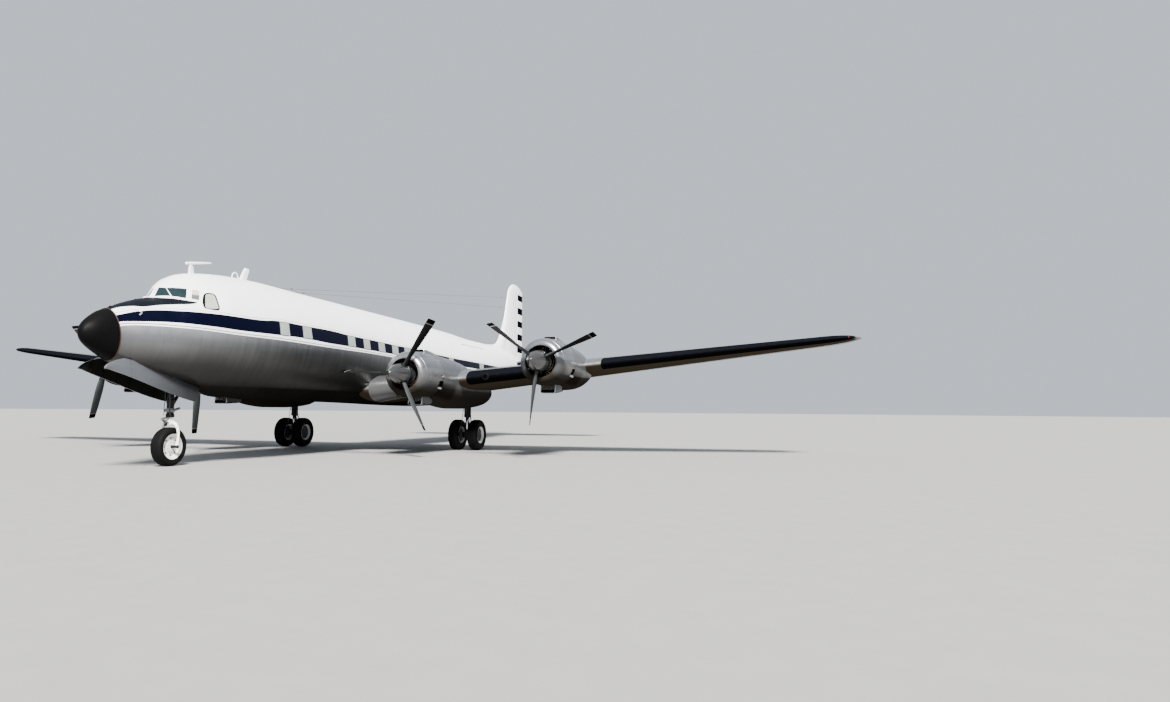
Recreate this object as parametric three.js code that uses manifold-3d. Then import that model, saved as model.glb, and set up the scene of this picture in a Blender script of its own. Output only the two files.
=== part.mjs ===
// A four-engined piston transport aeroplane, parked on its wheels, at full size.
// Millimetres, +Z up, nose towards -Y, port side towards +X, origin on the ground under the middle of its box.
// Stations are distances aft of the nose tip, and station() turns one into Y.
import * as THREE from 'three';
import { mergeGeometries, mergeVertices } from 'three/addons/utils/BufferGeometryUtils.js';
import Module from 'manifold-3d';

const wasm = await Module();
wasm.setup();

// Driving dimensions.
const LENGTH = 32180;
const SPAN = 35810;
const CLEAR = 0.4; // between solids that touch
const RUN = 14; // between a moving surface and what it moves in
const HINGE_PIN = 26; // radius of the pins at the ends of the control surfaces

const RADOME_END = 800;
const WING = {
  rootStation: 10580, rootZ: 2090, rootChord: 5750, tipChord: 1840, sweep: 0.146, dihedral: 0.1095,
  rootThickness: 0.16, tipThickness: 0.12, incidence: 0.045, innerX: 900,
};
const FLAP = { innerX: 1980, outerX: 10350, hinge: 0.775 };
const AILERON = { innerX: 10480, outerX: 16700, hinge: 0.76 };
const ENGINES = [
  // place of the propeller's middle, and the first blade's angle from up towards +X
  { name: 'outer_port', x: 8120, z: 3040, plane: 8880, inner: false, phase: 66.4 },
  { name: 'inner_port', x: 3730, z: 2640, plane: 8370, inner: true, phase: 32.8 },
  { name: 'inner_starboard', x: -3730, z: 2640, plane: 8370, inner: true, phase: 63 },
  { name: 'outer_starboard', x: -8120, z: 3040, plane: 8880, inner: false, phase: 75 },
];
const PROP = { radius: 1995, spinnerRadius: 325, spinnerNose: 690, spinnerBack: 250, shaft: 60, shaftDepth: 120 };
const FIREWALL = 1720; // the nacelle's front face, aft of the propeller's plane
const COWL = { lip: 270, length: FIREWALL - 270 - CLEAR };
const MAIN_GEAR = { x: 3730, station: 13850, radius: 570, width: 390, spread: 380, rim: 300 };
const NOSE_GEAR = { station: 2910, radius: 505, width: 330, rim: 325 };
const FIN = { root: 26845, rootZ: 4650, tipZ: 8630, sweep: 0.334, hinge: 29450, tail: 30430, thickness: 0.1, foot: 4260 };
const TAILPLANE = { halfSpan: 6020, z: 4020, hinge: 29950, lead: 27500, sweep: 0.19, tail: 31050, thickness: 0.11 };
const ELEVATOR = { innerX: 560, outerX: 5750, tube: 38 };

const station = (s) => s - LENGTH / 2;
const mix = (a, b, t) => a + (b - a) * t;
const rad = THREE.MathUtils.degToRad;

// Materials, one for each finish.
const finish = (color, roughness, metalness) => new THREE.MeshStandardMaterial({ color, roughness, metalness });
const MAT = {
  body: finish(0xe9ebee, 0.35, 0.1),
  metal: finish(0x9a9da1, 0.35, 0.85),
  black: finish(0x141416, 0.6, 0.0),
  glass: finish(0x2a3238, 0.1, 0.2),
  blade: finish(0x2a2b2d, 0.5, 0.3),
  engine: finish(0x3a3b3d, 0.6, 0.5),
  tyre: finish(0x17181a, 0.85, 0.0),
  rim: finish(0xd9d9d4, 0.5, 0.2),
  leg: finish(0x5c6064, 0.5, 0.5),
  white: finish(0xe9ebee, 0.4, 0.05),
};

const aircraft = new THREE.Group();

// Solids and booleans.
function solid(geometry) {
  const g = geometry.clone();
  for (const name of Object.keys(g.attributes)) if (name !== 'position') g.deleteAttribute(name);
  const merged = mergeVertices(g, 1e-3);
  const mesh = new wasm.Mesh({
    numProp: 3,
    vertProperties: new Float32Array(merged.attributes.position.array),
    triVerts: new Uint32Array(merged.index.array),
  });
  mesh.merge();
  return new wasm.Manifold(mesh);
}

function geometryOf(shape) {
  const mesh = shape.getMesh();
  const g = new THREE.BufferGeometry();
  g.setAttribute('position', new THREE.BufferAttribute(new Float32Array(mesh.vertProperties), 3));
  g.setIndex(new THREE.BufferAttribute(new Uint32Array(mesh.triVerts), 1));
  return g;
}

const join = (...shapes) => shapes.reduce((a, b) => a.add(b));

// A piece is one named mesh, shaded flat so that its facets read.
function piece(name, shape, material) {
  let g = shape.isBufferGeometry ? shape : geometryOf(shape);
  if (g.index) g = g.toNonIndexed();
  g.computeVertexNormals();
  const mesh = new THREE.Mesh(g, material);
  mesh.name = name;
  aircraft.add(mesh);
  return mesh;
}

function signedVolume(points, index) {
  let v = 0;
  for (let i = 0; i < index.length; i += 3) {
    const [a, b, c] = [points[index[i]], points[index[i + 1]], points[index[i + 2]]];
    v += a.dot(b.clone().cross(c)) / 6;
  }
  return v;
}

// A closed skin through rings of the same number of points. The end rings are convex or are capped as strips.
// Each four-sided face is split the mirrored way on the starboard side, so that the two sides match.
function loft(rings, strip = false) {
  const n = rings[0].length;
  const points = rings.flat();
  const index = [];
  for (let r = 0; r + 1 < rings.length; r++) {
    for (let i = 0; i < n; i++) {
      const [a, b] = [r * n + i, r * n + ((i + 1) % n)];
      const middle = points[a].x + points[b].x + points[a + n].x + points[b + n].x;
      if (middle < 0) index.push(a, b, a + n, b, b + n, a + n);
      else index.push(a, b, b + n, a, b + n, a + n);
    }
  }
  const cap = (base, flip) => {
    const tri = (a, b, c) => (flip ? index.push(base + a, base + c, base + b) : index.push(base + a, base + b, base + c));
    if (strip) {
      for (let i = 0; 2 * i < n - 1; i++) {
        const [a, b, c, d] = [i, i + 1, n - 2 - i, n - 1 - i];
        if (b < c) tri(a, c, b);
        if (a < d) tri(a, d, c);
      }
    } else {
      for (let i = 1; i + 1 < n; i++) tri(0, i + 1, i);
    }
  };
  cap(0, false);
  cap((rings.length - 1) * n, true);
  if (signedVolume(points, index) < 0) index.reverse();
  const g = new THREE.BufferGeometry();
  g.setAttribute('position', new THREE.Float32BufferAttribute(points.flatMap((p) => [p.x, p.y, p.z]), 3));
  g.setIndex(index);
  return solid(g);
}

function box(x0, x1, y0, y1, z0, z1) {
  const g = new THREE.BoxGeometry(x1 - x0, y1 - y0, z1 - z0);
  g.translate((x0 + x1) / 2, (y0 + y1) / 2, (z0 + z1) / 2);
  return solid(g);
}

// A cylinder between two points.
function rod(from, to, radius, sides = 12, endRadius = radius) {
  const [a, b] = [new THREE.Vector3(...from), new THREE.Vector3(...to)];
  const g = new THREE.CylinderGeometry(endRadius, radius, a.distanceTo(b), sides);
  const turn = new THREE.Quaternion().setFromUnitVectors(new THREE.Vector3(0, 1, 0), b.clone().sub(a).normalize());
  g.applyQuaternion(turn);
  g.translate(...a.add(b).multiplyScalar(0.5).toArray());
  return solid(g);
}

// The radius of a hole with flat sides that clears a round shaft.
const boreFor = (r, sides) => (r + 0.6) / Math.cos(Math.PI / sides);

// A turned piece about a line along X or Y through a point. The profile rows are [along, radius].
function turned(profile, sides, axis, at, phase = 0) {
  const g = new THREE.LatheGeometry(profile.map(([along, r]) => new THREE.Vector2(r, along)), sides);
  g.rotateY(phase);
  if (axis === 'x') g.rotateZ(-Math.PI / 2);
  g.translate(...at);
  const clean = g.clone();
  for (const name of ['normal', 'uv']) clean.deleteAttribute(name);
  const merged = mergeVertices(clean, 1e-3);
  const p = merged.attributes.position;
  const points = Array.from({ length: p.count }, (_, i) => new THREE.Vector3().fromBufferAttribute(p, i));
  const kept = [];
  for (let i = 0; i < merged.index.count; i += 3) {
    const t = [merged.index.getX(i), merged.index.getX(i + 1), merged.index.getX(i + 2)];
    if (t[0] !== t[1] && t[1] !== t[2] && t[2] !== t[0]) kept.push(...t);
  }
  if (signedVolume(points, kept) < 0) kept.reverse();
  merged.setIndex(kept);
  return solid(merged);
}

// Fuselage, with the raised flight deck in its outline.
const FUSELAGE_ROWS = [
  // station, half width, top above ground, bottom above ground
  [0, 30, 3260, 3220],
  [60, 110, 3420, 3100],
  [250, 250, 3590, 2955],
  [500, 350, 3780, 2790],
  [800, 430, 3900, 2635],
  [1200, 600, 4020, 2470],
  [1700, 820, 4160, 2375],
  [2100, 980, 4300, 2300],
  [2300, 1050, 4560, 2265],
  [2600, 1140, 4830, 2200],
  [3000, 1240, 5060, 2140],
  [3440, 1330, 5150, 2070],
  [4000, 1420, 5220, 1980],
  [4800, 1510, 5275, 1860],
  [5800, 1575, 5290, 1775],
  [7000, 1590, 5260, 1755],
  [10000, 1590, 5205, 1735],
  [16000, 1590, 5095, 1635],
  [18900, 1561, 5022, 1698],
  [21900, 1427, 4885, 2015],
  [24000, 1200, 4860, 2420],
  [26500, 880, 4750, 2950],
  [28500, 600, 4500, 3400],
  [29700, 420, 4200, 3590],
  [31000, 240, 4030, 3690],
  [LENGTH, 40, 3900, 3820],
];
const RING = 32;

function ringAt(s, halfWidth, top, bottom, inset = 0, count = RING) {
  const [cz, hz, hx] = [(top + bottom) / 2, (top - bottom) / 2 - inset, halfWidth - inset];
  return Array.from({ length: count }, (_, i) => {
    const a = (2 * Math.PI * (i + 0.5)) / count;
    return new THREE.Vector3(hx * Math.sin(a), station(s), cz + hz * Math.cos(a));
  });
}

function rowsBetween(rows, from, to) {
  const at = (s) => {
    const k = Math.min(rows.length - 2, Math.max(0, rows.findIndex((r) => r[0] >= s) - 1));
    const [a, b] = [rows[k], rows[k + 1]];
    const t = (s - a[0]) / (b[0] - a[0]);
    return a.map((v, i) => mix(v, b[i], t));
  };
  return [at(from), ...rows.filter((r) => r[0] > from + 1 && r[0] < to - 1), at(to)];
}

const skin = (rows, inset = 0) => loft(rows.map((r) => ringAt(r[0], r[1], r[2], r[3], inset)));

const tube = skin(rowsBetween(FUSELAGE_ROWS, RADOME_END, LENGTH));

piece('radome', skin(rowsBetween(FUSELAGE_ROWS, 0, RADOME_END - CLEAR)), MAT.black);

// The glazing is a band of the flight deck's skin between the sill and the brow.
const GLAZING = { from: 2060, to: 2850, sill: 4300, brow: 4580, depth: 45 };
const DECK_ROWS = rowsBetween(FUSELAGE_ROWS, 1700, 4000);
const glassZone = (grow) => box(-2000, 2000, station(GLAZING.from), station(GLAZING.to) + grow,
  GLAZING.sill - grow, GLAZING.brow + grow);
const glazing = tube.subtract(skin(DECK_ROWS, GLAZING.depth)).intersect(glassZone(-CLEAR));
const glassPocket = glassZone(0).subtract(skin(DECK_ROWS, GLAZING.depth + CLEAR));

// Nose wheel well, open below, and the doors that hang at its sides.
const WELL = { from: 1120, to: 3600, halfWidth: 345, roof: 3050 };
const well = box(-WELL.halfWidth, WELL.halfWidth, station(WELL.from), station(WELL.to), 1500, WELL.roof);

// A cargo door to port and two hold doors low to starboard close the holds behind them, and hinge at their heads.
const DOOR = { run: 8, jamb: 60, pin: 12, pinSides: 8, pinGap: 0.8, relief: 160 };
const DOORS = [
  // side, stations, sill and head above ground, thickness, how far across the hold reaches, where the hinge lies
  { name: 'cargo_door', side: 1, from: 18900, to: 21900, sill: 2800, head: 4420, depth: 70, inner: -950, hinge: [1201.8, 1043.8] },
  { name: 'hold_door_front', side: -1, from: 6000, to: 7100, sill: 2080, head: 2750, depth: 60, inner: 100, hinge: [1409.7, 1428.4] },
  { name: 'hold_door_rear', side: -1, from: 17400, to: 18500, sill: 2080, head: 2750, depth: 60, inner: 100, hinge: [1462, 1448.9] },
];
const doorZone = (d, grow) => box(
  d.side > 0 ? 300 : -2000, d.side > 0 ? 2000 : -300,
  station(d.from) - grow, station(d.to) + grow, d.sill - grow, d.head + grow);

// The rear cabin, open to the cargo door.
const CABIN = { from: 15500, to: 23400, halfWidth: 850, floor: 2860, ceiling: 4360 };
const cabin = box(-CABIN.halfWidth, CABIN.halfWidth, station(CABIN.from), station(CABIN.to), CABIN.floor, CABIN.ceiling);

let fuselage = tube.subtract(well).subtract(glassPocket).subtract(cabin);
const doorPieces = DOORS.map((d) => {
  const rows = rowsBetween(FUSELAGE_ROWS, 2500, 24000);
  const leaf = tube.subtract(skin(rows, d.depth)).intersect(doorZone(d, -DOOR.run));
  const pocket = doorZone(d, 0).subtract(skin(rows, d.depth + DOOR.run));
  const [near, far] = [d.side * 2000, d.side * d.inner].sort((a, b) => a - b);
  const hold = box(near, far, station(d.from) + DOOR.jamb, station(d.to) - DOOR.jamb, d.sill + DOOR.jamb, d.head);
  const behind = [d.side * 2000, d.side * 300].sort((a, b) => a - b);
  const relief = box(...behind, station(d.from), station(d.to), d.head - DOOR.relief, d.head);
  const hinge = [[d.side * d.hinge[0], station(d.from), d.head], [d.side * d.hinge[1], station(d.to), d.head]];
  const along = (reach) => hinge.map(([x, y, z], i) => [x, y + (i ? reach : -reach), z]);
  const groove = rod(...along(0), boreFor(DOOR.pin, DOOR.pinSides), DOOR.pinSides);
  fuselage = fuselage.subtract(pocket).subtract(hold).subtract(relief).subtract(groove);
  return [d.name, leaf.add(rod(...along(-DOOR.pinGap), DOOR.pin, DOOR.pinSides))];
});

// Wing. The chord line at a distance x out from the middle, and the section there as a ring of points.
function wingAt(x) {
  const t = x / (SPAN / 2);
  const chord = mix(WING.rootChord, WING.tipChord, t);
  return { lead: WING.rootStation + WING.sweep * x, z: WING.rootZ + WING.dihedral * x, chord,
    thickness: mix(WING.rootThickness, WING.tipThickness, t) };
}

const FRACTIONS = [1, 0.76, 0.52, 0.32, 0.16, 0.06, 0.015, 0];
const halfThickness = (t) => 5 * (0.2969 * Math.sqrt(t) - 0.126 * t - 0.3516 * t ** 2 + 0.2843 * t ** 3 - 0.1036 * t ** 4);
const EDGE = 9; // half the thickness of a trailing edge

// An aerofoil as [aft, up] from its leading edge, upper surface first from the trailing edge.
function aerofoil(chord, thickness, camber = 0, drop = 0, grow = 0) {
  const mid = (t) => camber * chord * 4 * t * (1 - t) - drop * chord * t;
  const half = (t) => Math.max(halfThickness(t) * thickness * chord, t > 0 ? EDGE : 0) + (t > 0 ? grow : 0);
  const aft = (t) => (t === 0 ? -grow : t === 1 ? chord + grow : t * chord);
  const upper = FRACTIONS.map((t) => [aft(t), mid(t) + half(t)]);
  const lower = FRACTIONS.slice(0, -1).reverse().map((t) => [aft(t), mid(t) - half(t)]);
  return [...upper, ...lower];
}

const WING_TIP = { start: 16750, forward: 0.42 };
function wingRing(x, grow) {
  const w = wingAt(x);
  const reach = Math.max(0, (x - WING_TIP.start) / (SPAN / 2 - WING_TIP.start));
  const chord = Math.max(120, w.chord * Math.sqrt(1 - Math.min(1, reach) ** 2));
  const lead = w.lead + (w.chord - chord) * WING_TIP.forward;
  const z = w.z - WING.incidence * (lead - w.lead);
  return aerofoil(chord, w.thickness, 0.018, WING.incidence, grow)
    .map(([aft, up]) => new THREE.Vector3(x, station(lead + aft), z + up));
}
const WING_X = [WING.innerX, WING_TIP.start, 17250, 17600, 17820, SPAN / 2];
const wingSolid = (grow) => loft(WING_X.map((x) => wingRing(x, grow)), true);

// A frame along a hinge line: u runs outboard, v aft and w up, all square to each other.
function hingeFrame(from, to) {
  const u = to.clone().sub(from).normalize();
  const v = new THREE.Vector3(0, 1, 0).addScaledVector(u, -u.y).normalize();
  const w = u.clone().cross(v);
  return { u, v, w, length: from.distanceTo(to) };
}

// A control surface: a round nose about its hinge and flat sides to a thin tail, in planes square to the hinge.
function surface(from, to, ends) {
  const f = hingeFrame(from, to);
  const rings = ends.map(({ at, nose, chord, drop }) => {
    const tail = EDGE - 2;
    const arc = [90, 120, 150, 180, 210, 240, 270].map((d) => [nose * Math.cos(rad(d)), nose * Math.sin(rad(d))]);
    const outline = [[chord, tail - drop], ...arc, [chord, -tail - drop]];
    return outline.map(([aft, up]) => from.clone().addScaledVector(f.u, at)
      .addScaledVector(f.v, aft).addScaledVector(f.w, up));
  });
  const reach = f.u.clone().multiplyScalar(RUN - CLEAR);
  const pin = rod(from.clone().sub(reach).toArray(), to.clone().add(reach).toArray(), HINGE_PIN, 8);
  return loft(rings, true).add(pin);
}

// The space that a control surface is cut out of: a block along its hinge line, from ahead of its nose to aft.
function cutOut(from, to, ahead, aft, tall, beyond) {
  const f = hingeFrame(from, to);
  const g = new THREE.BoxGeometry(f.length + 2 * beyond, ahead + aft, tall);
  g.translate(f.length / 2, (aft - ahead) / 2, 0);
  g.applyMatrix4(new THREE.Matrix4().makeBasis(f.u, f.v, f.w));
  g.translate(from.x, from.y, from.z);
  return solid(g);
}

function wingHinge(x, fraction) {
  const w = wingAt(x);
  const half = halfThickness(fraction) * w.thickness * w.chord;
  const z = w.z + 0.018 * w.chord * 4 * fraction * (1 - fraction) - WING.incidence * w.chord * fraction;
  const tailZ = w.z - WING.incidence * w.chord;
  return { point: new THREE.Vector3(x, station(w.lead + fraction * w.chord), z), half,
    chord: w.chord * (1 - fraction), drop: z - tailZ };
}

function wingSurface(spec) {
  const [a, b] = [wingHinge(spec.innerX, spec.hinge), wingHinge(spec.outerX, spec.hinge)];
  const length = a.point.distanceTo(b.point);
  const shape = surface(a.point, b.point, [
    { at: 0, nose: a.half - 6, chord: a.chord - 25, drop: a.drop },
    { at: length, nose: b.half - 6, chord: b.chord - 25, drop: b.drop },
  ]);
  const gap = cutOut(a.point, b.point, a.half + RUN, 2200, 1600, RUN);
  return { shape, gap };
}

const mirrored = (shape) => {
  const g = shape.isBufferGeometry ? shape : geometryOf(shape);
  const m = g.clone();
  m.scale(-1, 1, 1);
  const index = Array.from(m.index.array);
  m.setIndex(index.reverse());
  return solid(m);
};
const SIDES = [['port', (shape) => shape], ['starboard', mirrored]];

const tubeGap = skin(rowsBetween(FUSELAGE_ROWS, RADOME_END, LENGTH), -CLEAR);
const flap = wingSurface(FLAP);
const aileron = wingSurface(AILERON);
const wing = wingSolid(0).subtract(tubeGap).subtract(flap.gap).subtract(aileron.gap);
const wingGap = wingSolid(CLEAR);

// Nacelles behind the cowlings. Rows are aft of the propeller's plane, half width, top and bottom about the thrust line.
const NACELLE_ROWS = {
  inner: [
    [FIREWALL, 735, 760, -790], [2600, 740, 715, -950], [3600, 735, 640, -1010], [4700, 700, 450, -960],
    [5550, 570, 190, -800], [6140, 300, -90, -610], [6310, 160, -200, -530],
  ],
  outer: [
    [FIREWALL, 735, 760, -760], [2600, 735, 700, -790], [3600, 690, 600, -730], [4500, 560, 370, -580],
    [5300, 330, 90, -360], [5740, 130, -80, -250],
  ],
};
const NACELLE_RING = 20;
const nacelleSkin = (e, grow = 0) => loft(NACELLE_ROWS[e.inner ? 'inner' : 'outer'].map(([aft, hw, top, bottom]) =>
  ringAt(e.plane + aft, hw, e.z + top, e.z + bottom, -grow, NACELLE_RING).map((p) => p.setX(p.x + e.x))));

// Cowling: a round nose ring and a barrel, open right through, with an air scoop above and an oil cooler's below.
const COWL_PROFILE = [
  // aft of the lip, radius
  [40, 490], [0, 555], [60, 655], [220, 718], [520, 755], [1000, 755], [COWL.length, 735],
  [COWL.length, 700], [520, 718], [200, 590], [40, 490],
];
const COWL_SIDES = 18;
const SCOOPS = [
  // a scoop's mouth aft of the lip, half width, inner and outer radius, radius at the cowling's end, and its side
  { mouth: 1000, halfWidth: 215, low: 700, high: 850, end: 845, up: 1 },
  { mouth: 820, halfWidth: 250, low: 690, high: 1000, end: 975, up: -1 },
];
function scoopRing(e, s, aft, hw, high) {
  const pts = [[-hw, s.low], [-hw, high - 40], [-hw + 60, high], [hw - 60, high], [hw, high - 40], [hw, s.low]];
  return pts.map(([x, r]) => new THREE.Vector3(e.x + x, station(e.plane + aft), e.z + s.up * r));
}
function scoop(e, s) {
  const z = (r) => e.z + s.up * r;
  const ring = (aft, hw, high) => scoopRing(e, s, COWL.lip + aft, hw, high);
  const body = loft([ring(s.mouth, s.halfWidth, s.high - 15), ring(s.mouth + 260, s.halfWidth, s.high),
    ring(COWL.length, s.halfWidth - 10, s.end)]);
  const [zl, zh] = [z(765), z(s.high - 40)].sort((a, b) => a - b);
  const hole = box(e.x - s.halfWidth + 35, e.x + s.halfWidth - 35, station(e.plane + COWL.lip + s.mouth) - 50,
    station(e.plane + COWL.lip + s.mouth) + 220, zl, zh);
  return [body, hole];
}

// The fairing behind a scoop, on the nacelle.
function fairing(e, s) {
  const rows = [[0, 10, s.end], [400, 40, s.end - 50], [900, 110, 745]];
  return loft(rows.map(([aft, taper, high]) => scoopRing(e, s, FIREWALL + aft, s.halfWidth - taper, high)));
}

function cowling(e) {
  const at = [e.x, station(e.plane + COWL.lip), e.z];
  const barrel = turned(COWL_PROFILE, COWL_SIDES, 'y', at);
  const bore = turned([[-60, 0], [-60, 697], [COWL.length + 60, 697], [COWL.length + 60, 0]], COWL_SIDES, 'y', at);
  const [top, topHole] = scoop(e, SCOOPS[0]);
  const [low, lowHole] = scoop(e, SCOOPS[1]);
  return join(barrel, top.subtract(bore).subtract(topHole), low.subtract(bore).subtract(lowHole));
}

// Engine: a crankcase with nine cylinders in front, bolted to the nacelle behind.
const ENGINE = { noseRadius: 150, caseRadius: 300, cylinderReach: 605, cylinders: 9, faceAft: 620 };
function engine(e) {
  const at = [e.x, station(e.plane), e.z];
  const shell = turned([
    [PROP.spinnerBack + 8, 0], [PROP.spinnerBack + 8, ENGINE.noseRadius], [420, 230], [ENGINE.faceAft - 60, ENGINE.caseRadius],
    [1250, ENGINE.caseRadius], [FIREWALL - CLEAR, 420], [FIREWALL - CLEAR, 0],
  ], 16, 'y', at);
  const shaft = turned([[PROP.spinnerBack - PROP.shaftDepth + CLEAR, 0], [PROP.spinnerBack - PROP.shaftDepth + CLEAR, PROP.shaft],
    [PROP.spinnerBack + 60, PROP.shaft], [PROP.spinnerBack + 60, 0]], 12, 'y', at);
  const cylinders = Array.from({ length: ENGINE.cylinders }, (_, i) => {
    const g = new THREE.BoxGeometry(150, 420, ENGINE.cylinderReach - 200);
    g.translate(0, 210, 200 + (ENGINE.cylinderReach - 200) / 2);
    g.rotateY((2 * Math.PI * i) / ENGINE.cylinders);
    g.translate(e.x, station(e.plane + ENGINE.faceAft), e.z);
    return solid(g);
  });
  return join(shell, shaft, ...cylinders);
}

// Propeller: a pointed spinner and three feathered blades with square tips.
const BLADE_ROWS = [
  // radius, chord, thickness, pitch in degrees
  [150, 150, 130, 98], [430, 200, 110, 96], [1000, 360, 60, 86], [1750, 400, 28, 76], [1995, 360, 16, 74],
];
function blade(e, phase) {
  const rings = BLADE_ROWS.map(([r, chord, thick, pitch]) => {
    const [c, s] = [Math.cos(rad(pitch)), Math.sin(rad(pitch))];
    const outline = [[-0.5, 0], [-0.25, 0.42], [0.1, 0.5], [0.5, 0.05], [0.1, -0.5], [-0.25, -0.42]];
    return outline.map(([a, b]) => {
      const [along, through] = [a * chord, b * thick];
      return new THREE.Vector3(along * c - through * s, along * s + through * c, r);
    });
  });
  const turn = new THREE.Matrix4().makeRotationY(rad(phase));
  const place = new THREE.Vector3(e.x, station(e.plane), e.z);
  return loft(rings.map((ring) => ring.map((p) => p.applyMatrix4(turn).add(place))));
}
function propeller(e) {
  const at = [e.x, station(e.plane), e.z];
  const spinner = turned([
    [-PROP.spinnerNose, 0], [-640, 60], [-480, 165], [-240, 262], [0, 312], [120, PROP.spinnerRadius],
    [PROP.spinnerBack, 318], [PROP.spinnerBack, 0],
  ], 16, 'y', at);
  const bore = turned([[PROP.spinnerBack - PROP.shaftDepth, 0], [PROP.spinnerBack - PROP.shaftDepth, boreFor(PROP.shaft, 12)],
    [PROP.spinnerBack + 30, boreFor(PROP.shaft, 12)], [PROP.spinnerBack + 30, 0]], 12, 'y', at);
  return { spinner: spinner.subtract(bore), blades: [0, 120, 240].map((d) => blade(e, e.phase + d)) };
}

// Main gear: a leg under each inner nacelle with twin wheels on one axle.
const MAIN_LEG = { radius: 115, boss: 120, bossHalf: 150, axle: 62, top: 2500 };
const WHEEL_SIDES = 20;
const flatRadius = (r) => r / Math.cos(Math.PI / WHEEL_SIDES);

// A tyre's closed outline about its axle, from its width, its rim and its outer radius.
function tyre(at, radius, width, rim) {
  const [w, d] = [width / 2, radius - rim];
  const rows = [
    [-0.72 * w, 0], [-w, 0.38], [-0.88 * w, 0.8], [-0.45 * w, 1], [0.45 * w, 1], [0.88 * w, 0.8], [w, 0.38],
    [0.72 * w, 0], [-0.72 * w, 0],
  ].map(([along, f]) => [along, f === 1 ? flatRadius(radius) : f === 0 ? rim + 1 : rim + f * d]);
  return turned(rows, WHEEL_SIDES, 'x', at, Math.PI / WHEEL_SIDES);
}
// A wheel's rim and disc as one turned piece, round a bore or solid on its axle.
function rim(at, radius, width, bore) {
  const w = (0.72 * width) / 2;
  return turned([
    [-w, bore], [-w * 0.55, radius * 0.5], [-w * 0.55, radius * 0.78], [-w, radius * 0.88], [-w, radius],
    [w, radius], [w, radius * 0.88], [w * 0.55, radius * 0.78], [w * 0.55, radius * 0.5], [w, bore],
    ...(bore > 0 ? [[-w, bore]] : []),
  ], WHEEL_SIDES, 'x', at, Math.PI / WHEEL_SIDES);
}

const G = MAIN_GEAR;
const axleY = station(G.station);
const wheelAt = (side) => [G.x + side * G.spread, axleY, G.radius];
const mainTyre = { outer: tyre(wheelAt(1), G.radius, G.width, G.rim), inner: tyre(wheelAt(-1), G.radius, G.width, G.rim) };
const mainAxle = join(
  rim(wheelAt(1), G.rim, G.width, 0), rim(wheelAt(-1), G.rim, G.width, 0),
  rod([G.x - G.spread, axleY, G.radius], [G.x + G.spread, axleY, G.radius], MAIN_LEG.axle, 16));
const mainLeg = join(
  rod([G.x, axleY, G.radius], [G.x, axleY - 60, MAIN_LEG.top], MAIN_LEG.radius, 16),
  rod([G.x - MAIN_LEG.bossHalf, axleY, G.radius], [G.x + MAIN_LEG.bossHalf, axleY, G.radius], MAIN_LEG.boss, 16),
  rod([G.x, axleY, 1050], [G.x, station(13480), MAIN_LEG.top], 50, 10),
  rod([G.x, axleY - 20, 1300], [G.x - 240, axleY - 60, MAIN_LEG.top], 40, 10),
  rod([G.x, axleY - 20, 1300], [G.x + 240, axleY - 60, MAIN_LEG.top], 40, 10),
).subtract(rod([G.x - 300, axleY, G.radius], [G.x + 300, axleY, G.radius], boreFor(MAIN_LEG.axle, 20), 20))
  .subtract(wingGap).subtract(nacelleSkin(ENGINES[1], CLEAR));

// Nose gear: a leg on a trunnion in the well, a steered fork on its piston, and one wheel on the fork's axle.
const N = NOSE_GEAR;
const noseY = station(N.station);
const NOSE_LEG = { radius: 90, foot: 1260, trunnionZ: 2330, piston: 58, pistonTop: 1480, crown: 1110, armX: 225, axle: 40 };
const noseLeg = join(
  rod([0, noseY, NOSE_LEG.foot], [0, noseY, 2500], NOSE_LEG.radius, 16),
  rod([-WELL.halfWidth + CLEAR, noseY, NOSE_LEG.trunnionZ], [WELL.halfWidth - CLEAR, noseY, NOSE_LEG.trunnionZ], 60, 12),
  rod([0, noseY + 30, 1560], [0, station(WELL.to) - 60, 2380], 45, 10),
  rod([-WELL.halfWidth + CLEAR, station(WELL.to) - 80, 2380], [WELL.halfWidth - CLEAR, station(WELL.to) - 80, 2380], 40, 10),
).subtract(rod([0, noseY, NOSE_LEG.foot - 50], [0, noseY, NOSE_LEG.pistonTop + CLEAR], boreFor(NOSE_LEG.piston, 16), 16));
const noseFork = join(
  rod([0, noseY, NOSE_LEG.crown], [0, noseY, NOSE_LEG.pistonTop], NOSE_LEG.piston, 16),
  rod([0, noseY, NOSE_LEG.crown - 45], [0, noseY, NOSE_LEG.foot - 40], 105, 16),
  ...[1, -1].flatMap((side) => [
    rod([0, noseY, NOSE_LEG.crown], [side * NOSE_LEG.armX, noseY + 25, 1000], 42, 10),
    rod([side * NOSE_LEG.armX, noseY + 25, 1025], [side * NOSE_LEG.armX, noseY + 55, 800], 40, 10),
    rod([side * NOSE_LEG.armX, noseY + 55, 815], [side * NOSE_LEG.armX, noseY, N.radius - 60], 40, 10),
  ]),
  rod([-NOSE_LEG.armX, noseY, N.radius], [NOSE_LEG.armX, noseY, N.radius], NOSE_LEG.axle, 12));
const noseAt = [0, noseY, N.radius];

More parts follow.
